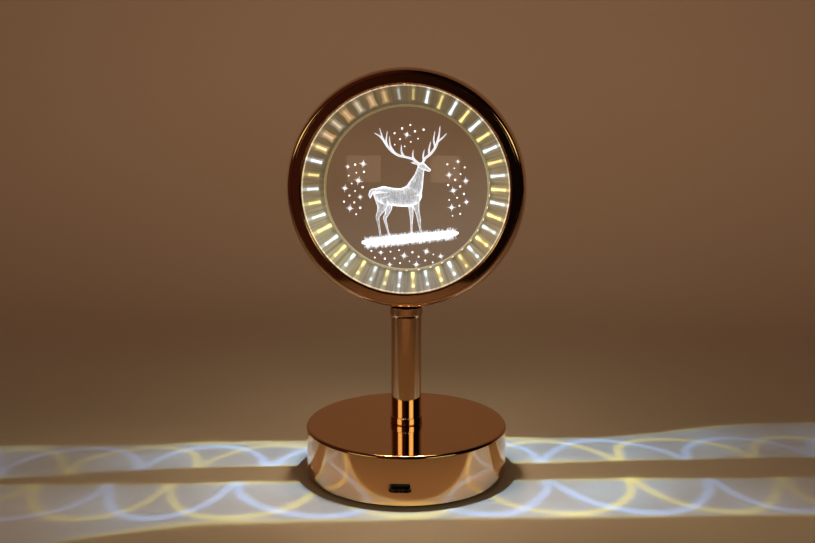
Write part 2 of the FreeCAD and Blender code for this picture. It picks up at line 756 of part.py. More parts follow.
def board_parts():
    """Chips, coil, transistors and capacitors soldered to the board."""
    middle = -board_middle
    column = board_post_side / 2
    finish("charge_chip", on_board("charge_chip", chip_length, chip_width, chip_tall, -column, middle))
    finish("touch_chip", on_board("touch_chip", chip_length, chip_width, chip_tall, column, middle))
    row_back = middle + chip_width + capacitor_width
    coil = cylinder("power_coil", inductor_side / 2, inductor_tall, 0, row_back, board_top)
    finish("power_coil", coil)
    transistors = []
    for number, side in enumerate((-1, 1)):
        name = f"transistor_{number}"
        block = on_board(name, transistor_length, transistor_width, transistor_tall, column * side, row_back)
        transistors.append(block)
    finish("led_transistors", group("led_transistors", transistors))
    capacitors = []
    row_front = middle - chip_width / 2 - capacitor_length / 2 - capacitor_spacing / 2
    pitch = capacitor_width + capacitor_spacing
    for number in range(capacitor_count):
        x = pitch * (number - (capacitor_count - 1) / 2)
        name = f"capacitor_{number}"
        capacitors.append(on_board(name, capacitor_width, capacitor_length, capacitor_tall, x, row_front))
    finish("board_capacitors", group("board_capacitors", capacitors))


def touch_contact():
    """Sprung strip from the board up to the underside of the cover, which senses the touch."""
    right = board_post_side + contact_reach / 2
    left = right - contact_reach
    inner = right - contact_thickness
    foot = board_top + contact_thickness
    shoulder = cover_underside - contact_thickness
    outline = [
        (left, board_top),
        (right, board_top),
        (right, cover_underside),
        (left, cover_underside),
        (left, shoulder),
        (inner, shoulder),
        (inner, foot),
        (left, foot),
    ]
    strip = padded("touch_contact", outline, "XZ_Plane", contact_width, True)
    place(strip, 0, -board_middle, 0)
    finish("touch_contact", strip)


def sockets():
    """The two plug-in connectors at the board's back edge, each with its plug."""
    back = -board_back - lead_exit_clearance
    front = back - socket_length
    room_low = board_top + plug_margin
    room_tall = socket_tall - plug_margin * 2
    room_front = back - plug_length
    gap = fit_clearance
    pairs = (("led", led_socket_width, 0), ("battery", battery_socket_width, -battery_socket_side))
    for name, width, x in pairs:
        left = -width / 2 + x
        block = box(f"{name}_socket_block", width, socket_length, socket_tall, left, front, board_top)
        inner = width / 2 - plug_margin
        room = box(f"{name}_socket_room", inner * 2, plug_length, room_tall, -inner + x, room_front, room_low)
        finish(f"{name}_socket", cut(f"{name}_socket", block, [room]))
        slim = inner - gap
        plug_tall = room_tall - gap * 2
        plug_front = room_front + gap
        plug_low = room_low + gap
        plug = box(f"{name}_plug", slim * 2, plug_length - gap, plug_tall, -slim + x, plug_front, plug_low)
        finish(f"{name}_plug", plug)


def battery():
    """Flat rechargeable cell on a foam pad, behind the stem."""
    outline = rectangle(battery_front, battery_bottom, battery_rear, battery_bottom + battery_thickness)
    cell = padded("battery_cell", outline, "YZ_Plane", battery_half_length * 2, True)
    rounded(cell, battery_corner, along("x"))
    finish("battery_cell", cell)
    half = battery_half_length - battery_pad_margin
    low = battery_front + battery_pad_margin
    width = battery_rear - battery_pad_margin - low
    finish("battery_pad", box("battery_pad", half * 2, width, battery_pad_thickness, -half, low, ballast_top))


def battery_leads():
    """Two wires from the cell's end, round to the battery's plug."""
    start_x = -battery_half_length
    level = battery_bottom + battery_thickness / 2
    plug_x = -battery_socket_side
    plug_y = -board_back - lead_exit_clearance
    for name, side in (("red", 1), ("black", -1)):
        shift = lead_spacing * side / 2
        spread = battery_lead_spread * side / 2
        start_y = (battery_front + battery_rear) / 2 + spread * 2
        outer_x = start_x - battery_lead_room - spread
        turn_y = plug_y + battery_lead_reach - spread
        lead(f"battery_lead_{name}", [
            (start_x, start_y, level),
            (outer_x, start_y, level),
            (outer_x, turn_y, lead_level),
            (plug_x - shift, turn_y, lead_level),
            (plug_x - shift, plug_y, lead_level),
        ])


def led_leads():
    """Three wires from the strip's ends down the hollow rod to the board."""
    plug_y = -board_back - lead_exit_clearance
    for name, side in (("warm", -1), ("common", 0), ("cool", 1)):
        x = lead_spacing * side
        lead(f"led_lead_{name}", [
            (x, 0, ring_level - strip_inside),
            (x, 0, lead_level),
            (x, plug_y, lead_level),
        ])


def stem():
    """Tube between two collars, all threaded on the hollow rod."""
    bore = rod_hole_radius
    spigot = tube_radius - tube_wall - spigot_clearance
    lower = [
        (bore, base_top),
        (collar_radius - collar_foot_chamfer, base_top),
        (collar_radius, base_top + collar_foot_chamfer),
        (collar_radius, tube_bottom),
        (spigot, tube_bottom),
        (spigot, tube_bottom + spigot_tall),
        (bore, tube_bottom + spigot_tall),
    ]
    collar = turned("lower_collar", lower)
    rounded(collar, collar_edge_round, circle_at(collar_radius, "z", tube_bottom))
    finish("lower_collar", collar)

    outline = band(tube_radius - tube_wall, tube_radius, tube_bottom, tube_top)
    finish("stem_tube", turned("stem_tube", outline))

    upper = [
        (bore, tube_top - spigot_tall),
        (spigot, tube_top - spigot_tall),
        (spigot, tube_top),
        (tube_radius, tube_top),
        (collar_radius, tube_top + collar_blend_tall),
        (collar_radius, stem_top),
        (bore, stem_top),
    ]
    collar = turned("upper_collar", upper)
    rounded(collar, collar_edge_round, circle_at(collar_radius, "z", stem_top))
    finish("upper_collar", collar)


def draw_rod():
    """Hollow rod whose flange hangs in the ring's wall and whose nut draws the lamp together."""
    shank = cylinder("rod_shank", rod_radius, flange_seat - rod_bottom, 0, 0, rod_bottom)
    flange = cylinder("rod_flange", rod_flange_radius, rod_flange_tall, 0, 0, flange_seat)
    length = flange_seat - rod_bottom + rod_flange_tall
    bore = cylinder("rod_bore", rod_bore_radius, length, 0, 0, rod_bottom)
    finish("draw_rod", cut("draw_rod", join("rod_solid", [shank, flange]), [bore]))


def rod_fasteners():
    """Wide washer, lock washer and nut under the cover's top."""
    wide = band(rod_hole_radius, backing_washer_radius, washer_bottom, cover_underside)
    finish("backing_washer", turned("backing_washer", wide))
    lock = band(rod_hole_radius, lock_washer_radius, lock_washer_bottom, washer_bottom)
    finish("lock_washer", turned("lock_washer", lock))
    hexagon = doc.addObject("Part::Prism", "nut_hexagon")
    hexagon.Polygon = 6
    bind(hexagon, "Circumradius", nut_across_flats / round(math.sqrt(3), 9))
    bind(hexagon, "Height", nut_tall)
    place(hexagon, 0, 0, nut_bottom)
    hole = cylinder("nut_hole", rod_radius + screw_clearance, nut_tall, 0, 0, nut_bottom)
    finish("rod_nut", cut("rod_nut", hexagon, [hole]))


def ring_frame():
    """Plated ring with a crowned outside, a wide rear lip behind the bevel of the glass and a flat seat."""
    outline = [
        (cavity_radius, -half_depth),
        (crown_end, -half_depth),
        (crown_end, half_depth, ring_crown_radius, (ring_radius, 0)),
        (rear_window_radius, half_depth),
        (rear_window_radius, lip_back),
        (cavity_radius, lip_back),
    ]
    ring = turned("ring_turned", outline, "XY_Plane")
    rounded(ring, ring_edge_round, circle_at(crown_end, "y", -half_depth), "front_edge")
    rounded(ring, ring_edge_round, circle_at(crown_end, "y", half_depth), "rear_edge")
    rounded(ring, lip_round, circle_at(rear_window_radius, "y", half_depth), "rear_lip")
    place(ring, 0, 0, ring_level)
    below = box("ring_seat_cut", ring_depth, ring_depth, ring_seat_flat * 4, -half_depth, -half_depth,
                stem_top - ring_seat_flat * 4)
    hole = cylinder("ring_rod_hole", rod_hole_radius, flange_seat - stem_top, 0, 0, stem_top)
    pocket = cylinder("ring_flange_pocket", rod_flange_radius + rod_clearance, rod_flange_pocket * 2, 0, 0,
                      flange_seat)
    finish("ring_frame", cut("ring_frame", ring, [below, hole, pocket]))


def front_bezel():
    """Flat plated ring let into the front of the frame."""
    outline = band(window_radius, carrier_outside, -half_depth, -lip_back)
    bezel = turned("front_bezel", outline, "XY_Plane")
    rounded(bezel, lip_round, circle_at(window_radius, "y", -half_depth))
    finish("front_bezel", place(bezel, 0, 0, ring_level))


def limb(name, thickness, level, route):
    """A flat limb of the engraving: its half width is drawn on both sides of its route."""
    left = []
    right = []
    for index, (x, z, half) in enumerate(route):
        before = route[max(index - 1, 0)]
        after = route[min(index + 1, len(route) - 1)]
        run = math.hypot(after[0] - before[0], after[1] - before[1])
        side_x = (before[1] - after[1]) / run * half
        side_z = (after[0] - before[0]) / run * half
        left.append((engraving_unit * round(x + side_x, 3), engraving_unit * round(z + side_z, 3)))
        right.insert(0, (engraving_unit * round(x - side_x, 3), engraving_unit * round(z - side_z, 3)))
    body = padded(name, left + right, "XZ_Plane", engraving_unit * thickness, True)
    return place(body, 0, engraving_unit * level, ring_level)


def clear_of_figure(x, z):
    """True beside the stag, between its antlers and below its bank, in drawing units."""
    reach = math.hypot(x, z)
    beside = abs(x) > side_sky_start and side_sky_low < z < side_sky_high and reach < side_sky_reach
    between_antlers = abs(x - crown_sky_middle) < crown_sky_half and crown_sky_low < z < crown_sky_high
    below_bank = z < low_sky_top and abs(x) < low_sky_half and reach > low_sky_start
    return beside or between_antlers or below_bank


def engraved_stars():
    """Stars and dots on a sunflower spiral, at slightly different depths, as thin upright diamonds."""
    diamonds = []
    for number in range(star_tries):
        share = math.sqrt((number + 0.5) / star_tries)
        across = round(share * math.sin(number * golden_turn), 6)
        up = round(share * math.cos(number * golden_turn), 6)
        drawn = plain(star_field_radius) / plain(engraving_unit)
        if not clear_of_figure(across * drawn, up * drawn):
            continue
        diamond = doc.addObject("Part::Prism", f"star_{number}")
        diamond.Polygon = 4
        bind(diamond, "Circumradius", star_reach if number % 4 == 0 else dot_reach)
        bind(diamond, "Height", star_thickness)
        diamond.Placement.Rotation = FreeCAD.Rotation(FreeCAD.Vector(1, 0, 0), 90)
        swing = round(math.sin(number), 6) * star_depth_swing
        place(diamond, star_field_radius * across, engraving_unit * swing, ring_level + star_field_radius * up)
        diamonds.append(diamond)
    return finish("engraved_stars", group("engraved_stars", diamonds))


def engraving():
    """A stag on a bank of snow under stars: white marked glass, each form filling its own hollow."""
    bank = finish("engraved_snow", limb(*snow_bank))
    figure = join("stag_figure", [limb(*drawn) for drawn in stag_limbs + antler_limbs])
    stag = finish("engraved_stag", cut("engraved_stag", figure, [bank]))
    return [stag, bank, engraved_stars()]


def engraved_glass():
    """Thick clear disc with a steep bevel round its back, marked inside."""
    outline = [
        (0, -glass_front),
        (glass_radius - glass_front_chamfer, -glass_front),
        (glass_radius, glass_front_chamfer - glass_front),
        (glass_radius, glass_front - glass_bevel_depth),
        (glass_radius - glass_bevel_width, glass_front),
        (0, glass_front),
    ]
    disc = place(turned("glass_disc", outline, "XY_Plane"), 0, 0, ring_level)
    finish("engraved_glass", cut("engraved_glass", disc, engraving()))


def glass_seals():
    """Thin soft rings that bed the glass between the bezel and the rear lip."""
    outer = glass_radius - glass_front_chamfer
    seal = turned("front_seal", band(outer - seal_width, outer, -lip_back, -glass_front), "XY_Plane")
    finish("front_seal", place(seal, 0, 0, ring_level))
    outer = glass_radius - glass_bevel_width - fit_clearance
    seal = turned("rear_seal", band(outer - seal_width, outer, glass_front, lip_back), "XY_Plane")
    finish("rear_seal", place(seal, 0, 0, ring_level))


def led_carrier():
    """White moulded ring: its front step holds the rim of the glass, its inside takes the strip."""
    glass_side = glass_radius + fit_clearance
    outline = [
        (glass_side, -lip_back),
        (carrier_outside, -lip_back),
        (carrier_outside, lip_back),
        (carrier_inside, lip_back),
        (carrier_inside, -carrier_step),
        (glass_side, -carrier_step),
    ]
    ring = turned("carrier_ring", outline, "XY_Plane")
    place(ring, 0, 0, ring_level)
    low = ring_level - carrier_outside - carrier_wall
    radius = lead_spacing + lead_radius + carrier_lead_clearance
    hole = cylinder("carrier_hole", radius, carrier_wall * 3, 0, 0, low)
    finish("led_carrier", cut("led_carrier", ring, [hole]))


def led_strip():
    """Flexible circuit round the inside of the carrier, open at the bottom where the wires come in."""
    low = -strip_forward - strip_width / 2
    ring = turned("strip_ring", band(strip_inside, strip_outside, low, low + strip_width), "XY_Plane")
    place(ring, 0, 0, ring_level)
    half_gap = lead_spacing + lead_radius + strip_lead_clearance
    bottom = ring_level - strip_outside - strip_thickness
    opening = box("strip_opening", half_gap * 2, strip_width, strip_thickness * 3, -half_gap, low, bottom)
    finish("led_strip", cut("led_strip", ring, [opening]))


def leds():
    """Lamps of two colours in turn round the strip, with a resistor in every third space."""
    pitch = 360 / led_count
    rows = {"warm_leds": [], "cool_leds": []}
    for number in range(led_count):
        turn = (number + 0.5) * pitch
        block = rim_box(f"led_{number}", led_width, led_length, led_tall, led_face, strip_forward, turn)
        rows["warm_leds" if number % 2 == 0 else "cool_leds"].append(block)
    for label, boxes in rows.items():
        finish(label, group(label, boxes))
    resistors = []
    face = strip_inside - solder_gap - resistor_tall
    for number in range(2, led_count, 3):
        name = f"resistor_{number}"
        turn = number * pitch
        block = rim_box(name, resistor_width, resistor_length, resistor_tall, face, strip_forward, turn)
        resistors.append(block)
    finish("strip_resistors", group("strip_resistors", resistors))


base = (foot_pad, base_cover, cover_posts, base_chassis, chassis_screws, ballast_plate, ballast_screws)
electronics = (main_board, board_screws, usb_socket, board_parts, touch_contact, sockets, battery)
column = (battery_leads, led_leads, stem, draw_rod, rod_fasteners)
head = (ring_frame, front_bezel, engraved_glass, glass_seals, led_carrier, led_strip, leds)
for build in base + electronics + column + head:
    build()

doc.recompute()

for item in doc.Objects:
    if "Invalid" in item.State or "Error" in item.State:
        raise ValueError(f"{item.Label}: {item.State}")
for item in finished:
    if item.Shape.isNull() or not item.Shape.isValid() or not item.Shape.Solids:
        raise ValueError(f"{item.Label} has no valid solid")
    if not re.fullmatch(r"[a-z0-9_]{1,59}", item.Label):
        raise ValueError(f"{item.Label} is not a plain name")

os.makedirs("parts", exist_ok=True)
for item in finished:
    item.Shape.exportStep(os.path.join("parts", f"{item.Label}.step"))
print(f"{len(finished)} sub-parts, {numbers['ring_radius'] * 2:.0f} mm ring, top at "
      f"{plain(ring_level + ring_radius):.1f} mm")
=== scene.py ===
import bpy
import bmesh
import math
import numpy as np
from mathutils import Matrix, Vector
from mathutils.noise import noise_vector, seed_set


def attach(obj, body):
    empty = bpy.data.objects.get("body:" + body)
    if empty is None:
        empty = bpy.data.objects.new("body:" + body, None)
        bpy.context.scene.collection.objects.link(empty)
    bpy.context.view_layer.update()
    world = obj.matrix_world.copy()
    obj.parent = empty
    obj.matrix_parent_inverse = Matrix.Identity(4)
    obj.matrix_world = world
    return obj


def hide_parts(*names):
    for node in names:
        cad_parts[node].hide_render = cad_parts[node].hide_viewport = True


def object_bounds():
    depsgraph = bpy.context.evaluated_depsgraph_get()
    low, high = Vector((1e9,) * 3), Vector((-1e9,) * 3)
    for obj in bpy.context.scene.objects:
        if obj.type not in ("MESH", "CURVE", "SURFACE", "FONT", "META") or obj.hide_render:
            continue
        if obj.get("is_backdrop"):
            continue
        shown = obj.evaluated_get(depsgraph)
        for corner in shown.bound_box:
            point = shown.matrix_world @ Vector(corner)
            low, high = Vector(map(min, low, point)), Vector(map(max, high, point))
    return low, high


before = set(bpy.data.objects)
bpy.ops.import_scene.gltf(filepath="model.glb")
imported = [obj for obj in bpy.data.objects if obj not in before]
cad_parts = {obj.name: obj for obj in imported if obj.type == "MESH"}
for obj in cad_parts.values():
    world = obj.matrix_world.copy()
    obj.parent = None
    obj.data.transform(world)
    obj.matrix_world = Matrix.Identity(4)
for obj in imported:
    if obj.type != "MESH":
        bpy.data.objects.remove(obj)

cad_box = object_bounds()


# Camera: it looks down a little from 0.4 m in front, higher than the middle of the head and to its
# right. Its place and tilt were worked out from the ellipses of the base and the ring in the photo.
def placed(name, data):
    """A new object of the scene that shows this data."""
    thing = bpy.data.objects.new(name, data)
    bpy.context.scene.collection.objects.link(thing)
    return thing


mm = 0.001
tilt_down = 9.63
turn_left = 3.3
lens = bpy.data.cameras.new("front_camera")
lens.lens = 41.4
lens.sensor_width = 36.0
lens.clip_start = 0.01
camera = placed("front_camera", lens)
camera.location = (24.0 * mm, -406.8 * mm, 160.7 * mm)
camera.rotation_euler = (math.radians(90 - tilt_down), 0, math.radians(turn_left))
bpy.context.scene.camera = camera
bpy.context.scene.view_settings.view_transform = "Standard"


# Floor and backdrop: one seamless sheet of warm pale paper that sweeps up behind the lamp.
# It ends half a metre in front, so the ring's face mirrors the dark room above it.
class Sum:
    """One socket of a node tree; sums, products and powers of it add their Math nodes."""

    def __init__(self, tree, socket):
        self.tree = tree
        self.socket = socket

    def maths(self, operation, *values):
        node = self.tree.nodes.new("ShaderNodeMath")
        node.operation = operation
        for place, value in zip(node.inputs, values):
            if isinstance(value, Sum):
                self.tree.links.new(value.socket, place)
            else:
                place.default_value = value
        return Sum(self.tree, node.outputs[0])

    def __add__(self, other):
        return self.maths("ADD", self, other)

    def __radd__(self, other):
        return self.maths("ADD", other, self)

    def __sub__(self, other):
        return self.maths("SUBTRACT", self, other)

    def __rsub__(self, other):
        return self.maths("SUBTRACT", other, self)

    def __mul__(self, other):
        return self.maths("MULTIPLY", self, other)

    def __rmul__(self, other):
        return self.maths("MULTIPLY", other, self)

    def __truediv__(self, other):
        return self.maths("DIVIDE", self, other)

    def __pow__(self, other):
        return self.maths("POWER", self, other)

    def __abs__(self):
        return self.maths("ABSOLUTE", self)

    def __round__(self):
        return self.maths("ROUND", self)

    def fraction(self):
        return self.maths("FRACT", self)


class Graph:
    """The nodes of one material, light, room or pattern."""

    def __init__(self, tree):
        self.tree = tree

    def node(self, kind, settings=None, inputs=None, output=0):
        """Any node: its settings first, then the values or links of its sockets. A kind without
        the word Node in it is a shader node."""
        made = self.tree.nodes.new(kind if "Node" in kind else "ShaderNode" + kind)
        for setting, value in (settings or {}).items():
            setattr(made, setting, value)
        for socket, value in (inputs or {}).items():
            if isinstance(value, Sum):
                self.tree.links.new(value.socket, made.inputs[socket])
            else:
                made.inputs[socket].default_value = value
        return Sum(self.tree, made.outputs[output])

    def between(self, value, low, high, start=0.0, end=1.0):
        """A value's range from low to high, brought to the range from start to end."""
        sockets = {"Value": value, "From Min": low, "From Max": high, "To Min": start, "To Max": end}
        return self.node("MapRange", {"interpolation_type": "SMOOTHSTEP"}, sockets)

    def fading(self, value, low, high, left=0.0):
        """1 up to low, and what is left from high on."""
        return self.between(value, low, high, 1.0, left)

    def blended(self, mask, first, second):
        """The first colour where the mask is 0, the second where it is 1."""
        sockets = {0: mask, 6: (*first, 1) if isinstance(first, tuple) else first,
                   7: (*second, 1) if isinstance(second, tuple) else second}
        return self.node("Mix", {"data_type": "RGBA"}, sockets, 2)

    def scaled(self, colour, amount):
        return self.node("VectorMath", {"operation": "SCALE"}, {0: colour, "Scale": amount})

    def added(self, first, second):
        return self.node("VectorMath", {"operation": "ADD"}, {0: first, 1: second})

    def vector(self, x, y, z=0.0):
        return self.node("CombineXYZ", {}, {"X": x, "Y": y, "Z": z})

    def axes(self, vector):
        """The three numbers of a vector."""
        parts = self.tree.nodes.new("ShaderNodeSeparateXYZ")
        self.tree.links.new(vector.socket, parts.inputs[0])
        return [Sum(self.tree, socket) for socket in parts.outputs]


class Finish(Graph):
    """A material on one Principled shader; constants go straight on the shader's sockets."""

    def __init__(self, name, **constants):
        self.material = bpy.data.materials.new(name)
        self.material.use_nodes = True
        super().__init__(self.material.node_tree)
        self.shader = self.tree.nodes["Principled BSDF"]
        for socket, value in constants.items():
            self.shader.inputs[socket.replace("_", " ")].default_value = value
        self.here = self.node("TexCoord", output="Object")

    def noise(self, scale, detail=3.0, stretch=(1, 1, 1)):
        """Soft random grain, scale in grains to the metre."""
        stretched = self.node("Mapping", {}, {"Vector": self.here, "Scale": stretch})
        return self.node("TexNoise", {}, {"Vector": stretched, "Scale": scale, "Detail": detail})

    def feed(self, socket, value):
        self.tree.links.new(value.socket, self.shader.inputs[socket])

    def relief(self, height, depth):
        """Fine relief of the surface, depth in metres."""
        sockets = {"Height": height, "Distance": depth, "Strength": 1.0}
        self.feed("Normal", self.node("Bump", {}, sockets))

    def glow(self, colour):
        """Light given off, too weak to light the scene by itself; on a part that is no lamp, painted light.
        """
        self.feed("Emission Color", colour)
        self.material.cycles.emission_sampling = "NONE"


paper = Finish("stage_paper", Roughness=0.75)
paper.feed("Base Color", paper.blended(paper.noise(3.0, 2.0), (0.66, 0.54, 0.43), (0.72, 0.6, 0.49)))
paper.relief(paper.noise(900.0), 0.00005)

sweep_front = -0.50
sweep_bend = 0.30
sweep_radius = 0.35
sweep_top = 1.2
sweep_half = 1.3
sweep_steps = 24
sweep_line = [(sweep_front, 0.0)]
for step in range(sweep_steps + 1):
    angle = math.pi / 2 * step / sweep_steps
    sweep_line.append((sweep_bend + sweep_radius * math.sin(angle), sweep_radius * (1 - math.cos(angle))))
sweep_line.append((sweep_bend + sweep_radius, sweep_top))
sweep_mesh = bpy.data.meshes.new("stage_sweep")
sweep_points = [(side, back, up) for back, up in sweep_line for side in (-sweep_half, sweep_half)]
sweep_faces = [(2 * i, 2 * i + 1, 2 * i + 3, 2 * i + 2) for i in range(len(sweep_line) - 1)]
sweep_mesh.from_pydata(sweep_points, [], sweep_faces)
sweep_mesh.polygons.foreach_set("use_smooth", [True] * len(sweep_faces))
sweep_mesh.materials.append(paper.material)
sweep = placed("stage_sweep", sweep_mesh)
sweep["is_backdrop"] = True


# Lights: two soft boxes high in front on either side, a wash on the backdrop and one on the floor,
# and two small windows far in front, which the face of the glass mirrors as faint patches.
def light_source(name, kind, place, power, mirrored=False, through=False, diffuse=True, **settings):
    """A light that isn't seen itself. It may be mirrored, seen through the glass, and light what
    isn't a mirror."""
    data = bpy.data.lights.new(name, kind)
    data.energy = power
    for setting, value in settings.items():
        setattr(data, setting, value)
    light = placed(name, data)
    light.location = place
    light.visible_camera = False
    light.visible_glossy = mirrored
    light.visible_transmission = through
    light.visible_diffuse = diffuse
    return light


def soft_light(name, place, aim, wide, tall, power, colour, spread=180.0, mirrored=True, through=True,
               diffuse=True):
    """An even rectangle of light, turned to its aim."""
    light = light_source(name, "AREA", place, power, mirrored, through, diffuse, shape="RECTANGLE",
                         size=wide, size_y=tall, color=colour, spread=math.radians(spread))
    light.rotation_euler = (Vector(aim) - Vector(place)).to_track_quat("-Z", "Y").to_euler()


warm_white = (1.0, 0.615, 0.385)
box_white = (1.0, 0.97, 0.55)
window_tone = (1.0, 0.72, 0.45)
soft_light("soft_box_left", (-0.72, -0.68, 0.39), (0, 0, 0.05), 0.62, 0.2, 0.09, box_white, 70.0)
soft_light("soft_box_right", (0.66, -0.74, 0.39), (0, 0, 0.05), 0.60, 0.2, 0.1, box_white, 70.0)
soft_light("backdrop_wash", (0.0, -1.0, 1.1), (0, 0.65, 0.25), 1.6, 0.4, 0.87, warm_white, 48.0,
           mirrored=False, through=False)
soft_light("floor_wash", (0.0, -0.35, 0.7), (0, -0.3499, 0), 0.4, 0.18, 0.076, warm_white, 30.0,
           mirrored=False, through=False)
for side, wide in ((-90, 40), (5, 34)):
    soft_light("far_window", (side * mm, -0.7, 96 * mm), (0, 0, 0.128), wide * mm, 31 * mm, 0.0048,
               window_tone, through=False)


# Light of the lamp itself: glints of its LEDs on the base's front edge, a warm spill from the glass
# in front and behind, and the two long pools, crossed by arcs, that the glass throws on the floor.
pool_height = 200.0


def thrown_light(name, back, power, near, far, middle, reach_along, reach_across, pitch, flare, sag,
                 slant, spilt):
    """A pool of light on the floor. Sizes are in millimetres on the floor: the near and far edge,
    the arcs' middle, half widths and pitch, how far the far edge flares on the right, and how far
    the near edge sags on the left. slant is in degrees, spilt the share of warm light around."""
    light = light_source(name, "SPOT", (0.0, back * mm, pool_height * mm), power,
                         spot_size=math.radians(165), spot_blend=0.05, shadow_soft_size=2.0 * mm)
    light.rotation_euler = (0, 0, math.radians(slant))
    light.data.use_nodes = True
    graph = Graph(light.data.node_tree)
    between = graph.between
    side, ahead, down = graph.axes(graph.node("TexCoord", output="Normal"))
    along = side / down * -pool_height
    across = ahead / down * -pool_height + back
    here = graph.vector(along, across * 1.6, pool_height)
    cloud = graph.node("TexNoise", {}, {"Vector": here, "Scale": 0.022, "Detail": 2.0})
    swirl = graph.node("TexNoise", {}, {"Vector": here, "Scale": 0.009, "Detail": 1.0})
    soft = 1.5
    far_edge = far + flare * between(along, 90.0, 190.0)
    near_edge = near - sag * between(along, -70.0, -170.0)
    inside = between(across - near_edge + (swirl - 0.5) * 9, -soft, soft) * between(
        far_edge - across + (cloud - 0.5) * 7, -soft, soft)
    cell = ((along + (swirl - 0.5) * 46) / pitch).fraction() - 0.5
    from_middle = (across - middle) / reach_across

    def arc_line(step):
        from_side = (cell + step) * (pitch / reach_along)
        ring = (from_side * from_side + from_middle * from_middle) ** 0.5
        return between(ring, 0.86, 0.97) * graph.fading(ring, 0.98, 1.03)

    cool = arc_line(0.0)
    warm = arc_line(-0.5) + arc_line(0.5)
    from_base = (along * along + across * across) ** 0.5
    reaching = graph.fading(abs(along - 12), 60.0, 175.0, 0.2) * between(from_base, 45.0, 48.5, 0.1, 1.0)
    fringe = graph.fading(far_edge - across, 0.5, 4.0) + graph.fading(across - near_edge, 0.5, 4.0)
    level = (between(cloud, 0.35, 0.65, 0.31, 0.5) + cool * 0.48 + warm * 0.32
             + fringe * 0.1) * inside * reaching
    gold_share = between(warm * 0.9 - cool * 0.5 + fringe * 0.8, 0.0, 1.0)
    blue_share = between(cool - warm * 0.5 - fringe, 0.0, 1.0, 0.0, 0.8)
    tone = graph.blended(gold_share, (0.32, 0.62, 0.98), (0.68, 0.78, 0.34))
    tone = graph.blended(blue_share, tone, (0.22, 0.5, 1.2))
    around = between(from_base, 45.0, 49.0) * graph.fading(from_base, 66.0, 110.0, 0.5) * graph.fading(
        from_base, 180.0, 420.0) * between(across, -5.0, -50.0) * spilt
    both = graph.added(graph.scaled(tone, level), graph.scaled((1.0, 0.62, 0.33), around))
    lamp = graph.tree.nodes["Emission"]
    graph.tree.links.new(both.socket, lamp.inputs["Color"])
    graph.tree.links.new(((down * down) ** -1.5).socket, lamp.inputs["Strength"])


base_edge = (0, -45 * mm, 22 * mm)
soft_light("glass_edge_glow", (0, -11.5 * mm, 84 * mm), base_edge, 0.05, 0.006, 0.003,
           (1.0, 0.75, 0.45), 80.0, diffuse=False)
for side, tone in ((-13, (1.0, 0.85, 0.3)), (-1, (0.9, 0.95, 1.0)), (11, (1.0, 0.95, 0.7))):
    soft_light("led_glint", (side * mm, -11.6 * mm, 80 * mm), base_edge, 5 * mm, 5 * mm, 0.002, tone,
               80.0, diffuse=False)
for back, power in ((-28, 0.15), (45, 0.165)):
    light_source("glass_spill", "POINT", (0, back * mm, 130 * mm), power, color=(1.0, 0.8, 0.5),
                 shadow_soft_size=12 * mm)
thrown_light("glass_glow_rear", back=22.0, power=3.5, near=5.0, far=39.0, middle=2.0, reach_along=31.0,
             reach_across=33.0, pitch=62.0, flare=16.0, sag=8.0, slant=6.0, spilt=0.0)
thrown_light("glass_glow_front", back=-28.0, power=3.15, near=-55.0, far=-14.0, middle=-12.0,
             reach_along=33.0, reach_across=40.0, pitch=66.0, flare=0.0, sag=24.0, slant=4.8, spilt=0.06)

# Room: dark round the paper, with a faint warm tone on its left that the plated metal mirrors.
# It is what the metal shows wherever no lamp or paper stands.
room = bpy.data.worlds.new("dark_room")
room.use_nodes = True
walls = Graph(room.node_tree)
to_right = walls.axes(walls.node("TexCoord", output="Generated"))[0]
wall_tone = walls.blended(walls.between(to_right, 0.1, -0.3), (0.003, 0.002, 0.0015), (0.05, 0.014, 0.008))
walls.tree.links.new(wall_tone.socket, walls.tree.nodes["Background"].inputs["Color"])
bpy.context.scene.world = room


# Foot pad: a disc of soft black rubber, stuck under the base. It is set back from the wall, so
# that it shows as a dark gap between the drum and the floor.
def moulded(name, dark, light, gloss, grain=900.0, depth=0.00003, **constants):
    """Moulded or painted finish: two close tones, a little uneven gloss and a fine grain."""
    finish = Finish(name, **constants)
    fine = finish.noise(grain, 4.0)
    finish.feed("Base Color", finish.blended(finish.noise(grain / 8, 2.0), dark, light))
    finish.feed("Roughness", finish.between(fine, 0.3, 0.7, gloss - 0.07, gloss + 0.07))
    finish.relief(fine, depth)
    return finish


def dress(finish, *nodes):
    """Gives CAD nodes their finish."""
    for node in nodes:
        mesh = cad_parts[node].data
        for slot in range(len(mesh.materials)):
            mesh.materials[slot] = finish.material
        if not mesh.materials:
            mesh.materials.append(finish.material)


dress(moulded("foot_rubber", (0.008, 0.008, 0.008), (0.018, 0.017, 0.016), 0.8, 2500.0, 0.00006),
      "foot_pad")

# Base chassis: a black moulded floor with a low rim, which closes the drum from below. The
# ballast, the cell and the board are fixed on it.
dress(moulded("chassis_plastic", (0.018, 0.018, 0.019), (0.03, 0.029, 0.029), 0.5, 3000.0, 0.00004),
      "base_chassis")


# Ballast: a blanked steel plate that keeps the slim lamp upright, left as it came off the press
# and screwed to the chassis.
def rolled(name, dark, light, gloss, stretch=(1, 12, 1), grain=500.0, depth=0.00001):
    """Bare or zinc plated metal with the fine lines of rolling, turning or drawing."""
    finish = Finish(name, Metallic=1.0)
    lines = finish.noise(grain, 5.0, stretch)
    finish.feed("Base Color", finish.blended(finish.noise(60.0, 3.0), dark, light))
    finish.feed("Roughness", finish.between(lines, 0.3, 0.7, gloss - 0.08, gloss + 0.1))
    finish.relief(lines, depth)
    return finish


dress(rolled("ballast_steel", (0.22, 0.21, 0.2), (0.36, 0.35, 0.34), 0.45), "ballast_plate")

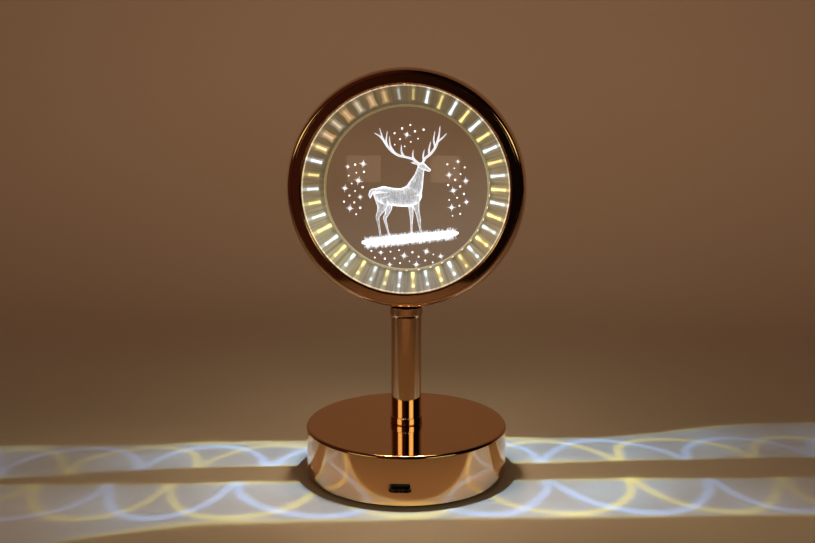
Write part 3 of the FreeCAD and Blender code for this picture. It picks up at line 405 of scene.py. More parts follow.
# Posts, screws, rod, washers and nut: turned or pressed steel, all zinc plated and bluish grey.
# The hollow rod and its nut clamp the head, the stem and the cover together.
dress(rolled("zinc_steel", (0.42, 0.44, 0.47), (0.6, 0.61, 0.62), 0.3, (1, 1, 14), 700.0),
      "cover_posts", "chassis_screws", "ballast_screws", "board_screws", "draw_rod", "backing_washer",
      "lock_washer", "rod_nut")

# Rechargeable cell: a flat pouch sealed in aluminium foil, with fine creases. It is bedded on a
# pad of open grey foam that keeps it from knocking.
foil = Finish("cell_foil", Metallic=1.0)
creases = foil.node("TexVoronoi", {"feature": "DISTANCE_TO_EDGE"}, {"Vector": foil.here, "Scale": 90.0})
foil.feed("Base Color", foil.blended(foil.noise(150.0), (0.55, 0.56, 0.58), (0.75, 0.76, 0.77)))
foil.feed("Roughness", foil.between(creases, 0.0, 0.2, 0.24, 0.38))
foil.relief(foil.between(creases, 0.0, 0.15), 0.0001)
dress(foil, "battery_cell")
foam = Finish("foam_grey", Roughness=0.95)
pores = foam.node("TexVoronoi", {"feature": "F1"}, {"Vector": foam.here, "Scale": 1800.0})
foam.feed("Base Color", foam.blended(pores, (0.05, 0.05, 0.055), (0.12, 0.12, 0.125)))
foam.relief(pores, 0.0003)
dress(foam, "battery_pad")

# Main board: glass fibre under a green solder mask, through which the copper tracks show paler.
# Black chips, a grey coil and tan capacitors are soldered on it.
mask = Finish("board_green", Roughness=0.35, Coat_Weight=0.4)
tracks = mask.node("TexBrick", {"offset": 0.37}, {
    "Vector": mask.here, "Scale": 260.0, "Mortar Size": 0.06, "Color1": (0, 0, 0, 1),
    "Color2": (0.2, 0.2, 0.2, 1), "Mortar": (1, 1, 1, 1)})
mask.feed("Base Color", mask.blended(tracks, (0.0015, 0.012, 0.005), (0.004, 0.03, 0.012)))
mask.relief(mask.between(tracks, 0.3, 0.7), 0.00004)
dress(mask, "main_board")
dress(moulded("chip_black", (0.012, 0.012, 0.013), (0.028, 0.028, 0.029), 0.55, 6000.0, 0.00002),
      "usb_tongue", "charge_chip", "touch_chip", "led_transistors")
dress(moulded("coil_grey", (0.07, 0.07, 0.075), (0.14, 0.14, 0.145), 0.6, 4000.0, 0.00005), "power_coil")
dress(moulded("capacitor_tan", (0.3, 0.19, 0.1), (0.42, 0.28, 0.16), 0.4, 5000.0, 0.00001),
      "board_capacitors")
dress(moulded("resistor_black", (0.015, 0.015, 0.016), (0.035, 0.035, 0.036), 0.45, 6000.0, 0.00001),
      "strip_resistors")

# Connectors and wires: cream nylon housings, and silicone insulated leads coloured by their job.
# A sprung brass strip touches the cover, and the charging port has a drawn steel shell.
dress(moulded("socket_nylon", (0.6, 0.55, 0.45), (0.72, 0.68, 0.58), 0.5, 2500.0, 0.00002,
              Subsurface_Weight=0.1), "led_socket", "led_plug", "battery_socket", "battery_plug")
dress(rolled("spring_brass", (0.55, 0.36, 0.12), (0.72, 0.5, 0.2), 0.28), "touch_contact")
dress(moulded("red_insulation", (0.35, 0.01, 0.008), (0.5, 0.02, 0.015), 0.4), "battery_lead_red",
      "led_lead_common")
dress(moulded("black_insulation", (0.01, 0.01, 0.01), (0.025, 0.025, 0.025), 0.4), "battery_lead_black")
dress(moulded("yellow_insulation", (0.62, 0.38, 0.02), (0.75, 0.5, 0.04), 0.4), "led_lead_warm")
dress(moulded("white_insulation", (0.62, 0.62, 0.6), (0.78, 0.78, 0.76), 0.4), "led_lead_cool")
dress(rolled("usb_steel", (0.5, 0.5, 0.5), (0.66, 0.66, 0.65), 0.24, (1, 14, 1), 900.0), "usb_shell")


# Base cover: a drum drawn from one sheet, plated in a mirror-like rose gold, with a soft edge
# round its top and a window for the charging port stamped in its front.
def section(*corners):
    """Spans of a closed section, run with its solid on the left; each corner is (out, up) or
    (out, up, round). A span is a list of points with the normal of the surface at each."""
    places = [Vector(corner[:2]) for corner in corners]
    rounds = [corner[2] if len(corner) > 2 else 0.0 for corner in corners]
    count = len(places)
    spans = []
    ends = []
    for here in range(count):
        before = (places[here] - places[here - 1]).normalized()
        after = (places[(here + 1) % count] - places[here]).normalized()
        first = Vector((before.y, -before.x))
        last = Vector((after.y, -after.x))
        turn = math.atan2(before.cross(after), before.dot(after))
        if rounds[here] == 0.0:
            ends.append((places[here], places[here], None))
            continue
        reach = rounds[here] * math.tan(abs(turn) / 2)
        start = places[here] - before * reach
        side = 1 if turn > 0 else -1
        middle = start - first * rounds[here] * side
        steps = max(4, math.ceil(abs(turn) / math.radians(7)))
        arc = []
        for step in range(steps + 1):
            normal = first.copy()
            normal.rotate(Matrix.Rotation(turn * step / steps, 2))
            arc.append((middle + normal * rounds[here] * side, normal))
        ends.append((start, places[here] + after * reach, arc))
    for here in range(count):
        there = (here + 1) % count
        run = ends[there][0] - ends[here][1]
        if ends[here][2]:
            spans.append(ends[here][2])
        if run.length > 1e-9:
            normal = Vector((run.y, -run.x)).normalized()
            spans.append([(ends[here][1], normal), (ends[there][0], normal)])
    return spans


def strips(spans):
    """The short straight steps of all spans, as arrays of their ends and end normals."""
    steps = [(*span[i], *span[i + 1]) for span in spans for i in range(len(span) - 1)]
    return [np.array([step[part][:] for step in steps]) for part in range(4)]


def true_normals(mesh, spans, middle=None):
    """Gives each face of a turned piece the exact normals of its section, so that it mirrors
    cleanly; cut faces stay flat. middle is the height of a level axis along Y, None if upright."""
    on_section = 0.03 * mm
    start, start_normal, end, end_normal = strips(spans)

    def unturned(points):
        if middle is None:
            return np.hypot(points[:, 0], points[:, 1]), points[:, 2], np.arctan2(points[:, 1], points[:, 0])
        up = points[:, 2] - middle
        return np.hypot(points[:, 0], up), points[:, 1], np.arctan2(-up, points[:, 0])

    centres = np.array([face.center[:] for face in mesh.polygons])
    out, up, _ = unturned(centres)
    flat = np.stack([out, up], 1)
    run = end - start
    share = ((flat[:, None] - start[None]) * run[None]).sum(2) / (run * run).sum(1)[None]
    foot = start[None] + np.clip(share, 0, 1)[..., None] * run[None]
    away = np.hypot(*(flat[:, None] - foot).transpose(2, 0, 1))
    nearest = away.argmin(1)
    matched = away.min(1) < on_section
    face_normals = np.array([face.normal[:] for face in mesh.polygons])
    points = np.array([vertex.co[:] for vertex in mesh.vertices])
    out, up, turned_by = unturned(points)
    normals = np.zeros((len(mesh.loops), 3))
    for face in mesh.polygons:
        if not matched[face.index]:
            normals[face.loop_start:face.loop_start + face.loop_total] = face_normals[face.index]
            continue
        step = nearest[face.index]
        for loop in range(face.loop_start, face.loop_start + face.loop_total):
            corner = mesh.loops[loop].vertex_index
            along = np.array([out[corner], up[corner]]) - start[step]
            part = min(1, max(0, along @ run[step] / (run[step] @ run[step])))
            radial, axial = start_normal[step] * (1 - part) + end_normal[step] * part
            angle = turned_by[corner]
            if out[corner] < 1e-7:
                angle = unturned(centres[face.index][None])[2][0]
            if middle is None:
                normals[loop] = (radial * math.cos(angle), radial * math.sin(angle), axial)
            else:
                normals[loop] = (radial * math.cos(angle), axial, -radial * math.sin(angle))
    normals /= np.linalg.norm(normals, axis=1)[:, None]
    mesh.polygons.foreach_set("use_smooth", [True] * len(mesh.polygons))
    mesh.normals_split_custom_set(normals.tolist())


def turned(name, spans, steps=288, middle=None):
    """A section turned about the upright axis, or about the level axis of the head."""
    rows = []
    points = []
    for out, up in strips(spans)[0]:
        row = []
        for step in range(1 if out < 1e-9 else steps):
            angle = 2 * math.pi * step / steps
            row.append(len(points))
            if middle is None:
                points.append((out * math.cos(angle), out * math.sin(angle), up))
            else:
                points.append((out * math.cos(angle), up, middle - out * math.sin(angle)))
        rows.append(row)
    faces = []
    for low, high in zip(rows, rows[1:] + rows[:1]):
        if len(low) == 1 and len(high) == 1:
            continue
        for step in range(steps):
            after = (step + 1) % steps
            if len(low) == 1:
                faces.append((low[0], high[after], high[step]))
            elif len(high) == 1:
                faces.append((low[step], low[after], high[0]))
            else:
                faces.append((low[step], low[after], high[after], high[step]))
    mesh = bpy.data.meshes.new(name)
    mesh.from_pydata(points, [], faces)
    piece = placed(name, mesh)
    true_normals(mesh, spans, middle)
    return piece


def prism(points, low, high, axis="y"):
    """A closed prism over a flat outline: (x, z) points swept along y, or (x, y) points along z."""
    count = len(points)
    if axis == "y":
        corners = [(x, level, z) for level in (low, high) for x, z in points]
    else:
        corners = [(x, y, level) for level in (low, high) for x, y in points]
    faces = [tuple(range(count)), tuple(range(2 * count - 1, count - 1, -1))]
    faces += [(i, i + count, (i + 1) % count + count, (i + 1) % count) for i in range(count)]
    mesh = bpy.data.meshes.new("cutter")
    mesh.from_pydata(corners, [], faces)
    shape = bmesh.new()
    shape.from_mesh(mesh)
    bmesh.ops.recalc_face_normals(shape, faces=shape.faces)
    shape.to_mesh(mesh)
    shape.free()
    return placed("cutter", mesh)


def keep_result(piece):
    """Makes a piece the plain mesh that its modifiers give."""
    bpy.context.view_layer.update()
    shown = piece.evaluated_get(bpy.context.evaluated_depsgraph_get())
    piece.data = bpy.data.meshes.new_from_object(shown)
    piece.modifiers.clear()


def cut_away(piece, *cutters):
    """Takes the cutters' shapes out of a piece and removes the cutters."""
    for cutter in cutters:
        tool = piece.modifiers.new("cut", "BOOLEAN")
        tool.operation = "DIFFERENCE"
        tool.solver = "EXACT"
        tool.object = cutter
    keep_result(piece)
    for cutter in cutters:
        bpy.data.objects.remove(cutter)


def disc(x, y, radius, sides=64):
    turns = [2 * math.pi * i / sides for i in range(sides)]
    return [(x + radius * math.cos(turn), y + radius * math.sin(turn)) for turn in turns]


def rounded_slot(x, z, wide, tall, corner, sides=10):
    """Outline of a rectangle with round corners."""
    line = []
    for quarter, (right, up) in enumerate(((1, 1), (-1, 1), (-1, -1), (1, -1))):
        for side in range(sides + 1):
            turn = math.pi / 2 * (quarter + side / sides)
            line.append((x + right * (wide / 2 - corner) + corner * math.cos(turn),
                         z + up * (tall / 2 - corner) + corner * math.sin(turn)))
    return line


plated = Finish("plated_metal", Metallic=1.0)
smudges = plated.noise(110.0, 4.0, (1, 1, 0.6))
plated.feed("Base Color", plated.blended(plated.noise(35.0, 3.0), (0.72, 0.44, 0.24), (0.74, 0.46, 0.26)))
plated.feed("Roughness", plated.between(smudges, 0.45, 0.75, 0.035, 0.09))
plated.relief(plated.noise(420.0, 2.0), 0.0000012)


def plate(piece, *nodes):
    """Plates a turned piece, which stands for its CAD nodes."""
    piece.data.materials.append(plated.material)
    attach(piece, "root")
    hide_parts(*nodes)


cover_radius = 45.0 * mm
cover_bottom = 1.5 * mm
cover_top = 22.8 * mm
cover_inside = cover_radius - 1.2 * mm
cover_under = cover_top - 1.5 * mm
rod_hole = 3.2 * mm
port_level = 9.3 * mm
port_wide = 9.3 * mm
port_tall = 3.9 * mm
port_corner = 1.0 * mm
cover_line = section(
    (rod_hole, cover_under), (cover_inside, cover_under, 0.4 * mm), (cover_inside, cover_bottom, 0.0),
    (cover_radius, cover_bottom, 0.35 * mm), (cover_radius, cover_top, 1.3 * mm), (rod_hole, cover_top))
cover = turned("cover_plated", cover_line, 360)
port_mouth = rounded_slot(0, port_level, port_wide, port_tall, port_corner)
cut_away(cover, prism(port_mouth, -46 * mm, -42 * mm))
true_normals(cover.data, cover_line)
plate(cover, "base_cover")

# Stem: a drawn tube between two turned collars, plated as the cover is. The collars' spigots
# centre the tube, and the rod that runs up inside clamps them together.
collar_radius = 7.25 * mm
tube_radius = 6.75 * mm
tube_inside = 5.75 * mm
tube_bottom = 26.1 * mm
tube_top = 71.7 * mm
stem_top = 76.0 * mm
spigot_radius = 5.65 * mm
spigot_tall = 5.0 * mm
lower_line = section(
    (rod_hole, cover_top), (collar_radius - 0.5 * mm, cover_top),
    (collar_radius, cover_top + 0.5 * mm, 0.12 * mm), (collar_radius, tube_bottom, 0.25 * mm),
    (spigot_radius, tube_bottom), (spigot_radius, tube_bottom + spigot_tall),
    (rod_hole, tube_bottom + spigot_tall))
plate(turned("collar_foot", lower_line, 192), "lower_collar")
tube_line = section((tube_inside, tube_bottom), (tube_radius, tube_bottom), (tube_radius, tube_top),
                    (tube_inside, tube_top))
plate(turned("stem_plated", tube_line, 192), "stem_tube")
upper_line = section(
    (rod_hole, tube_top - spigot_tall), (spigot_radius, tube_top - spigot_tall), (spigot_radius, tube_top),
    (tube_radius, tube_top), (collar_radius, tube_top + 1.0 * mm, 0.8 * mm),
    (collar_radius, stem_top, 0.25 * mm), (rod_hole, stem_top))
plate(turned("collar_head", upper_line, 192), "upper_collar")

# Ring frame: a turned and plated ring with a crowned outside, and a wide lip behind the glass.
# Its bottom has a small flat seat for the collar and a hole for the rod's flange and the wires.
head_height = 127.8 * mm
half_depth = 10.0 * mm
ring_radius = 52.0 * mm
crown_radius = 25.0 * mm
edge_round = 1.6 * mm
cavity_radius = 48.6 * mm
lip_front = 8.3 * mm
rear_window = 35.2 * mm
lip_round = 0.9 * mm
flange_hole = 4.7 * mm
crown_middle = ring_radius - crown_radius
edge_middle = half_depth - edge_round
edge_out = crown_middle + math.sqrt((crown_radius - edge_round) ** 2 - edge_middle ** 2)
edge_turn = math.asin(edge_middle / (crown_radius - edge_round))


def arc(middle_out, middle_up, radius, start, end, steps):
    """A span that follows an arc of a section, from one angle to another."""
    span = []
    for step in range(steps + 1):
        angle = start + (end - start) * step / steps
        normal = Vector((math.cos(angle), math.sin(angle)))
        span.append((Vector((middle_out, middle_up)) + normal * radius, normal))
    return span


front_edge = arc(edge_out, -edge_middle, edge_round, -math.pi / 2, -edge_turn, 12)
crown = arc(crown_middle, 0, crown_radius, -edge_turn, edge_turn, 24)
rear_edge = arc(edge_out, edge_middle, edge_round, edge_turn, math.pi / 2, 12)
lip_edge = arc(rear_window + lip_round, half_depth - lip_round, lip_round, math.pi / 2, math.pi, 10)


def straight(*points):
    """Straight spans through points of a section."""
    spans = []
    for first, last in zip(points, points[1:]):
        first, last = Vector(first), Vector(last)
        run = last - first
        normal = Vector((run.y, -run.x)).normalized()
        spans.append([(first, normal), (last, normal)])
    return spans


ring_line = [
    *straight((cavity_radius, -half_depth), front_edge[0][0]), front_edge, crown, rear_edge,
    *straight(rear_edge[-1][0], lip_edge[0][0]), lip_edge,
    *straight(lip_edge[-1][0], (rear_window, lip_front), (cavity_radius, lip_front),
              (cavity_radius, -half_depth))]
ring = turned("ring_plated", ring_line, 360, head_height)
seat_cut = prism([(-20 * mm, -20 * mm), (20 * mm, -20 * mm), (20 * mm, 20 * mm), (-20 * mm, 20 * mm)],
                 60 * mm, stem_top, "z")
cut_away(ring, seat_cut, prism(disc(0, 0, rod_hole), 70 * mm, 78 * mm, "z"),
         prism(disc(0, 0, flange_hole), 77.4 * mm, 83 * mm, "z"))
true_normals(ring.data, ring_line, head_height)
plate(ring, "ring_frame")

# Front bezel: a flat plated ring pressed into the front of the frame; its seam is the thin line
# just inside the frame's edge.
window_radius = 44.4 * mm
bezel_radius = 48.5 * mm
bezel_line = section(
    (window_radius, -half_depth, 0.9 * mm), (bezel_radius, -half_depth, 0.12 * mm),
    (bezel_radius, -lip_front), (window_radius, -lip_front))
plate(turned("bezel_plated", bezel_line, 360, head_height), "front_bezel")

# Carrier, strip and seals: a white moulded ring holds the rim of the glass and the strip of LEDs;
# clear silicone rings bed the glass in front and behind.
dress(moulded("carrier_plastic", (0.5, 0.47, 0.4), (0.6, 0.57, 0.5), 0.45, 2500.0, 0.00002), "led_carrier")
dress(moulded("strip_film", (0.62, 0.56, 0.42), (0.72, 0.66, 0.52), 0.4, 2500.0, 0.00001), "led_strip")
silicone = Finish("clear_silicone", Transmission_Weight=0.85, IOR=1.41, Emission_Strength=1.0)
silicone_cloud = silicone.noise(900.0)
silicone.feed("Base Color", silicone.blended(silicone_cloud, (0.8, 0.8, 0.78), (0.9, 0.9, 0.88)))
silicone.feed("Roughness", silicone.between(silicone_cloud, 0.3, 0.7, 0.3, 0.45))
# Painted light: the seals glow faintly warm, standing in for the LED light that they catch.
silicone.glow(silicone.blended(silicone_cloud, (0.05, 0.035, 0.015), (0.09, 0.065, 0.03)))
silicone.relief(silicone_cloud, 0.00001)
dress(silicone, "front_seal", "rear_seal")


# LEDs: small white packages with a phosphor window, soldered on the strip in turn warm and cool.
# They face the rim of the glass; the light that they give its bevel and its engraving is painted there.
class Pattern(Graph):
    """A Geometry Nodes tree with named sizes, run once and kept as a plain mesh."""

    def __init__(self, name, **sizes):
        super().__init__(bpy.data.node_groups.new(name, "GeometryNodeTree"))
        self.name = name
        self.sizes = {}
        for label, value in sizes.items():
            kind = "NodeSocketInt" if isinstance(value, int) else "NodeSocketFloat"
            socket = self.tree.interface.new_socket(label, in_out="INPUT", socket_type=kind)
            self.sizes[socket.identifier] = value
        self.tree.interface.new_socket("Piece", in_out="OUTPUT", socket_type="NodeSocketGeometry")
        self.entry = self.tree.nodes.new("NodeGroupInput")
        self.exit = self.tree.nodes.new("NodeGroupOutput")

    def size(self, label):
        return Sum(self.tree, self.entry.outputs[label])

    def random(self, low, high, draw):
        """A number of its own for each point; draw tells the draws of one seed apart."""
        sockets = {2: low, 3: high, "Seed": self.size("Seed") + draw}
        return self.node("FunctionNodeRandomValue", {}, sockets, 1)

    def points(self, spot):
        """As many points as the pattern counts, each moved to its spot."""
        points = self.node("GeometryNodePoints", {}, {"Count": self.size("Count")})
        return self.node("GeometryNodeSetPosition", {}, {"Geometry": points, "Position": spot})

    def shape(self, item):
        return self.node("GeometryNodeObjectInfo", {}, {"Object": item}, "Geometry")

    def repeated(self, points, item, lean, grow=1.0):
        """The item at each point, turned about the level axis and sized."""
        return self.node("GeometryNodeInstanceOnPoints", {}, {
            "Points": points, "Instance": self.shape(item), "Rotation": self.vector(0.0, lean, 0.0),
            "Scale": self.vector(grow, grow, grow)})

    def made(self, name, geometry, finish):
        """Ends the tree, runs it, and returns its result as a piece of its own."""
        real = self.node("GeometryNodeRealizeInstances", {}, {"Geometry": geometry})
        dressed = self.node("GeometryNodeSetMaterial", {}, {"Geometry": real, "Material": finish.material})
        self.tree.links.new(dressed.socket, self.exit.inputs[0])
        piece = placed(name, bpy.data.meshes.new(name))
        tool = piece.modifiers.new(self.name, "NODES")
        tool.node_group = self.tree
        for identifier, value in self.sizes.items():
            tool[identifier] = value
        keep_result(piece)
        piece.data.name = name
        return piece


def helper_shape(name, shape):
    """A finished bmesh as an object that a pattern repeats."""
    mesh = bpy.data.meshes.new(name)
    shape.to_mesh(mesh)
    shape.free()
    return placed(name, mesh)


led_round = 1.6 * mm
led_along = 3.0 * mm
led_tall = 0.8 * mm
led_face = 46.68 * mm
led_level = -1.5 * mm
leds_of_a_kind = 21
package = bmesh.new()
bmesh.ops.create_cube(package, size=1.0)
bmesh.ops.scale(package, vec=(led_round, led_along, led_tall), verts=package.verts)
upright = [edge for edge in package.edges if abs(edge.verts[0].co.z - edge.verts[1].co.z) > led_tall / 2]
bmesh.ops.bevel(package, geom=upright, offset=0.12 * mm, segments=2, affect="EDGES")
lit = package.faces.layers.float.new("lit")
top = max(package.faces, key=lambda face: face.calc_center_median().z)
bmesh.ops.inset_individual(package, faces=[top], thickness=0.16 * mm, depth=0.0)
bmesh.ops.inset_individual(package, faces=[top], thickness=0.1 * mm, depth=-0.12 * mm)
top[lit] = 1.0
package_shape = helper_shape("led_package", package)


def lit_package(name, body, glow, power):
    """White package body whose phosphor window glows."""
    finish = Finish(name, Roughness=0.4, Emission_Strength=power)
    window = finish.node("Attribute", {"attribute_name": "lit"}, {}, "Fac")
    cloud = finish.noise(1500.0)
    shell = finish.blended(cloud, (0.7, 0.69, 0.66), (0.8, 0.79, 0.76))
    spot = finish.blended(cloud, tuple(0.9 * part for part in glow), glow)
    finish.feed("Base Color", finish.blended(window, shell, body))
    finish.glow(finish.blended(window, (0, 0, 0), spot))
    finish.relief(cloud, 0.00001)
    return finish


def led_row(name, first, finish):
    """Half of the LEDs: every second place round the rim, counted from the bottom."""
    row = Pattern(name, Count=leds_of_a_kind, First=first, Radius=led_face + led_tall / 2,
                  Level=led_level, Height=head_height)
    index = row.node("GeometryNodeInputIndex")
    turn = (index * 2 + row.size("First") + 0.5) * math.pi / row.size("Count")
    across = turn.maths("SINE", turn) * row.size("Radius")
    down = turn.maths("COSINE", turn) * row.size("Radius")
    spot = row.vector(across, row.size("Level"), row.size("Height") - down)
    return row.made(name, row.repeated(row.points(spot), package_shape, turn * -1), finish)


warm_row = led_row("warm_led_row", 0, lit_package("warm_led", (0.8, 0.62, 0.2), (1.0, 0.78, 0.36), 1.3))
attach(warm_row, "root")
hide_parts("warm_leds")
cool_row = led_row("cool_led_row", 1, lit_package("cool_led", (0.85, 0.8, 0.4), (0.78, 0.88, 1.0), 1.3))
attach(cool_row, "root")
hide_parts("cool_leds")
bpy.data.objects.remove(package_shape)

# Glass: a thick polished disc of clear optical glass with a small arris in front and a steep
# bevel behind. The bevel is ground fine and toned dark. The light of the LEDs on it is painted:
# each LED shows on it as a slim painted dash of light, and the arrises at its inner edge and at
# the window carry thin painted lines of light.
glass_radius = 46.0 * mm
glass_half = 8.0 * mm
arris = 0.5 * mm
bevel_deep = 11.0 * mm
bevel_wide = 10.0 * mm
glass_line = section(
    (0, -glass_half), (glass_radius - arris, -glass_half), (glass_radius, arris - glass_half),
    (glass_radius, glass_half - bevel_deep), (glass_radius - bevel_wide, glass_half), (0, glass_half))
glass = turned("glass_disc", glass_line, middle=head_height)
clear = Finish("clear_glass", Transmission_Weight=1.0, IOR=1.52, Emission_Strength=1.0)
clear_cloud = clear.noise(60.0)
clear.relief(clear.noise(45.0), 0.0000015)
bevel_edge = 36.0
dash_middle = 40.6
window_edge = 44.0
led_pitch = math.pi / leds_of_a_kind
across, behind, up = [axis / mm for axis in clear.axes(clear.here)]
down = head_height / mm - up
out = (across * across + down * down) ** 0.5
turn = across.maths("ARCTAN2", across, down)
place = turn / led_pitch - 0.5
nearest_led = round(place)
is_cool = (nearest_led * 0.5 + 0.01).fraction() * 2
from_dash = abs((place - nearest_led) * led_pitch * out)
aside = from_dash / clear.between(abs(out - dash_middle), 0.5, 4.0, 1.0, 1.45)
between_leds = abs((place.fraction() - 0.5) * led_pitch * out)
own = clear.node("TexWhiteNoise", {"noise_dimensions": "1D"}, {"W": nearest_led})


def leaning(degrees):
    """Runs from -1 to 1 round the head; it is 1 at this angle from the bottom, towards the right."""
    return turn.maths("COSINE", turn - math.radians(degrees))


# Painted light: each dash is whole at the sides and the top, and parted into two spots near the
# bottom. A soft halo lies round it, and at the upper left the dashes are dull and widen into patches.
parted = clear.between(leaning(8), 0.25, 0.8)
dulled = clear.between(leaning(207), 0.72, 0.95)
inner_spot = clear.between(out, 36.4, 37.1) * clear.fading(out, 38.2, 40.2)
outer_spot = clear.between(out, 41.2, 42.2) * clear.fading(out, 42.8, 43.4, 0.15)
dash_start = clear.between(leaning(225), 0.3, 0.75, 36.5, 38.2)
whole = clear.between(out - dash_start, 0.0, 0.7) * clear.fading(out, 42.5, 43.3, 0.3)
dash = whole * (1 - parted) + (inner_spot + outer_spot + 0.22) * whole * parted
strength = (0.5 + own * 0.65) * (1 - dulled * 0.72)
core = clear.fading(aside, 0.22, 0.75) * dash * strength
halo = clear.fading(aside, 0.5, 1.7) * whole * strength
patch = clear.fading(aside, 1.1, 1.8) * clear.between(out, 37.4, 38.4) * clear.fading(
    out, 42.0, 43.6, 0.25) * clear.between(leaning(222), 0.8, 0.92)
edge_line = clear.between(out, bevel_edge, 36.05) * clear.fading(out, 36.2, 36.45)
beads = clear.fading(between_leds, 0.3, 0.65) * edge_line * clear.between(leaning(45), 0.55, 0.8)

# Painted light: a streaked haze of glow on the ground bevel, brighter towards the bottom.
streak_spot = clear.vector(turn * 22, out * 0.03)
streaks = clear.node("TexNoise", {}, {"Vector": streak_spot, "Scale": 1.6, "Detail": 3.0})
painted_haze = clear.blended(clear.between(leaning(15), -0.8, 0.5), (0.1, 0.065, 0.028), (0.245, 0.18, 0.1))
painted_haze = clear.blended(clear.between(leaning(0), 0.75, 1.0), painted_haze, (0.25, 0.215, 0.17))
painted_haze = clear.blended(clear.between(leaning(305), 0.8, 1.0), painted_haze, (0.3, 0.26, 0.16))
streaked = clear.between(streaks, 0.3, 0.7, 0.6, 1.4) * clear.between(out, 37.0, 38.6, 0.6, 1.0)
bevel_light = clear.scaled(painted_haze, streaked)
halo_tone = clear.blended(is_cool, (0.24, 0.18, 0.025), (0.11, 0.15, 0.19))
core_tone = clear.blended(is_cool, (1.5, 1.25, 0.5), (1.15, 1.3, 1.2))
patch_tone = clear.blended(own, (0.42, 0.2, 0.05), (0.1, 0.14, 0.2))
for amount, tone in ((halo, halo_tone), (core, core_tone), (patch, patch_tone),
                     (edge_line, (0.24, 0.2, 0.07)), (beads, (1.3, 1.15, 0.7))):
    bevel_light = clear.added(bevel_light, clear.scaled(tone, amount))
on_bevel = clear.between(behind, -3.05, -2.95) * clear.between(out, bevel_edge, 36.02)
on_rim = clear.fading(behind, -7.99, -7.9) * clear.between(out, window_edge - 0.1, window_edge + 0.1)
on_back = clear.between(behind, 7.9, 7.99) * clear.fading(out, 35.98, bevel_edge)
# Painted light: a faint veil of glow on the flat back face, brighter towards the bottom.
veil_cloud = clear.noise(30.0, 2.0)
veil = clear.between(leaning(20) * out / bevel_edge + (veil_cloud - 0.5) * 0.9, -0.6, 1.0, 0.004, 0.06)
rim_light = clear.scaled((0.8, 0.68, 0.46), on_rim * clear.between(streaks, 0.3, 0.7, 0.35, 0.9))
veil_light = clear.scaled((1.0, 0.95, 0.8), veil * on_back)
clear.glow(clear.added(clear.added(clear.scaled(bevel_light, on_bevel), rim_light), veil_light))
clear_tint = clear.blended(clear_cloud, (0.97, 0.985, 0.98), (0.985, 0.995, 0.99))
# Painted shade: the glass is tinted darker towards the top.
top_shade = clear.between(leaning(180) * out / bevel_edge, 0.45, 0.95)
clear_tint = clear.blended(top_shade, clear_tint, (0.86, 0.85, 0.85))
clear.feed("Base Color", clear.blended(on_bevel, clear_tint, (0.2, 0.17, 0.13)))
clear.feed("Metallic", on_bevel * 0.8)
clear.feed("Roughness", clear.between(clear_cloud, 0.4, 0.7, 0.0, 0.008) + on_bevel * 0.5)
glass.data.materials.append(clear.material)
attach(glass, "root")
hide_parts("engraved_glass")


# Engraving: a stag on a bank of snow among stars, marked inside the glass by fine laser dots.
# Their glow is painted light, for the light of the rim that the dots catch. It stands in the
# middle of the thickness.
def smooth_route(points, spacing):
    """Points of (x, z, radius) made into a close smooth route."""
    knots = [points[0], *points, points[-1]]
    route = []
    for i in range(1, len(knots) - 2):
        a, b, c, d = [np.array(knot, float) for knot in knots[i - 1:i + 3]]
        steps = max(2, round(np.hypot(*(c - b)[:2]) / spacing))
        for step in range(steps):
            share = step / steps
            route.append(0.5 * (2 * b + (c - a) * share + (2 * a - 5 * b + 4 * c - d) * share ** 2
                                + (3 * b - a - 3 * c + d) * share ** 3))
    route.append(np.array(points[-1], float))
    return route


def limb(shape, thickness, level, points, sides, spacing=0.4):
    """A closed tapering limb along a route in the glass, with sizes in millimetres from its
    centre: its widest place is as thick as given, and level is how far it lies behind."""
    route = smooth_route(points, spacing)
    flat = thickness / 2 / max(radius for _, _, radius in points)
    rows = []
    count = len(route)
    for i, (x, z, radius) in enumerate(route):
        ahead = route[min(i + 1, count - 1)] - route[max(i - 1, 0)]
        way = Vector((ahead[0], 0, ahead[1])).normalized()
        side = Vector((way.z, 0, -way.x))
        row = []
        for j in range(sides):
            turn = 2 * math.pi * j / sides
            spot = Vector((x, level, z)) + side * radius * math.cos(turn)
            row.append(shape.verts.new(spot + Vector((0, flat * radius * math.sin(turn), 0))))
        rows.append(row)
    for low, high in zip(rows, rows[1:]):
        for j in range(sides):
            shape.faces.new((low[j], low[(j + 1) % sides], high[(j + 1) % sides], high[j]))
    for row, (x, z, radius), out in ((rows[0], route[0], -1), (rows[-1], route[-1], 1)):
        way = Vector((route[1] - route[0])[:2] if out < 0 else (route[-1] - route[-2])[:2]).normalized()
        tip = shape.verts.new((x + way.x * out * radius * 0.4, level, z + way.y * out * radius * 0.4))
        for j in range(sides):
            shape.faces.new((row[j], row[(j + 1) % sides], tip))


def in_glass(name, shape):
    """Moves a shape drawn in millimetres about the centre of the glass to its place."""
    bmesh.ops.recalc_face_normals(shape, faces=shape.faces)
    bmesh.ops.scale(shape, vec=(mm, mm, mm), verts=shape.verts)
    bmesh.ops.translate(shape, vec=(0, 0, head_height), verts=shape.verts)
    mesh = bpy.data.meshes.new(name)
    shape.to_mesh(mesh)
    shape.free()
    mesh.polygons.foreach_set("use_smooth", [True] * len(mesh.polygons))
    return placed(name, mesh)


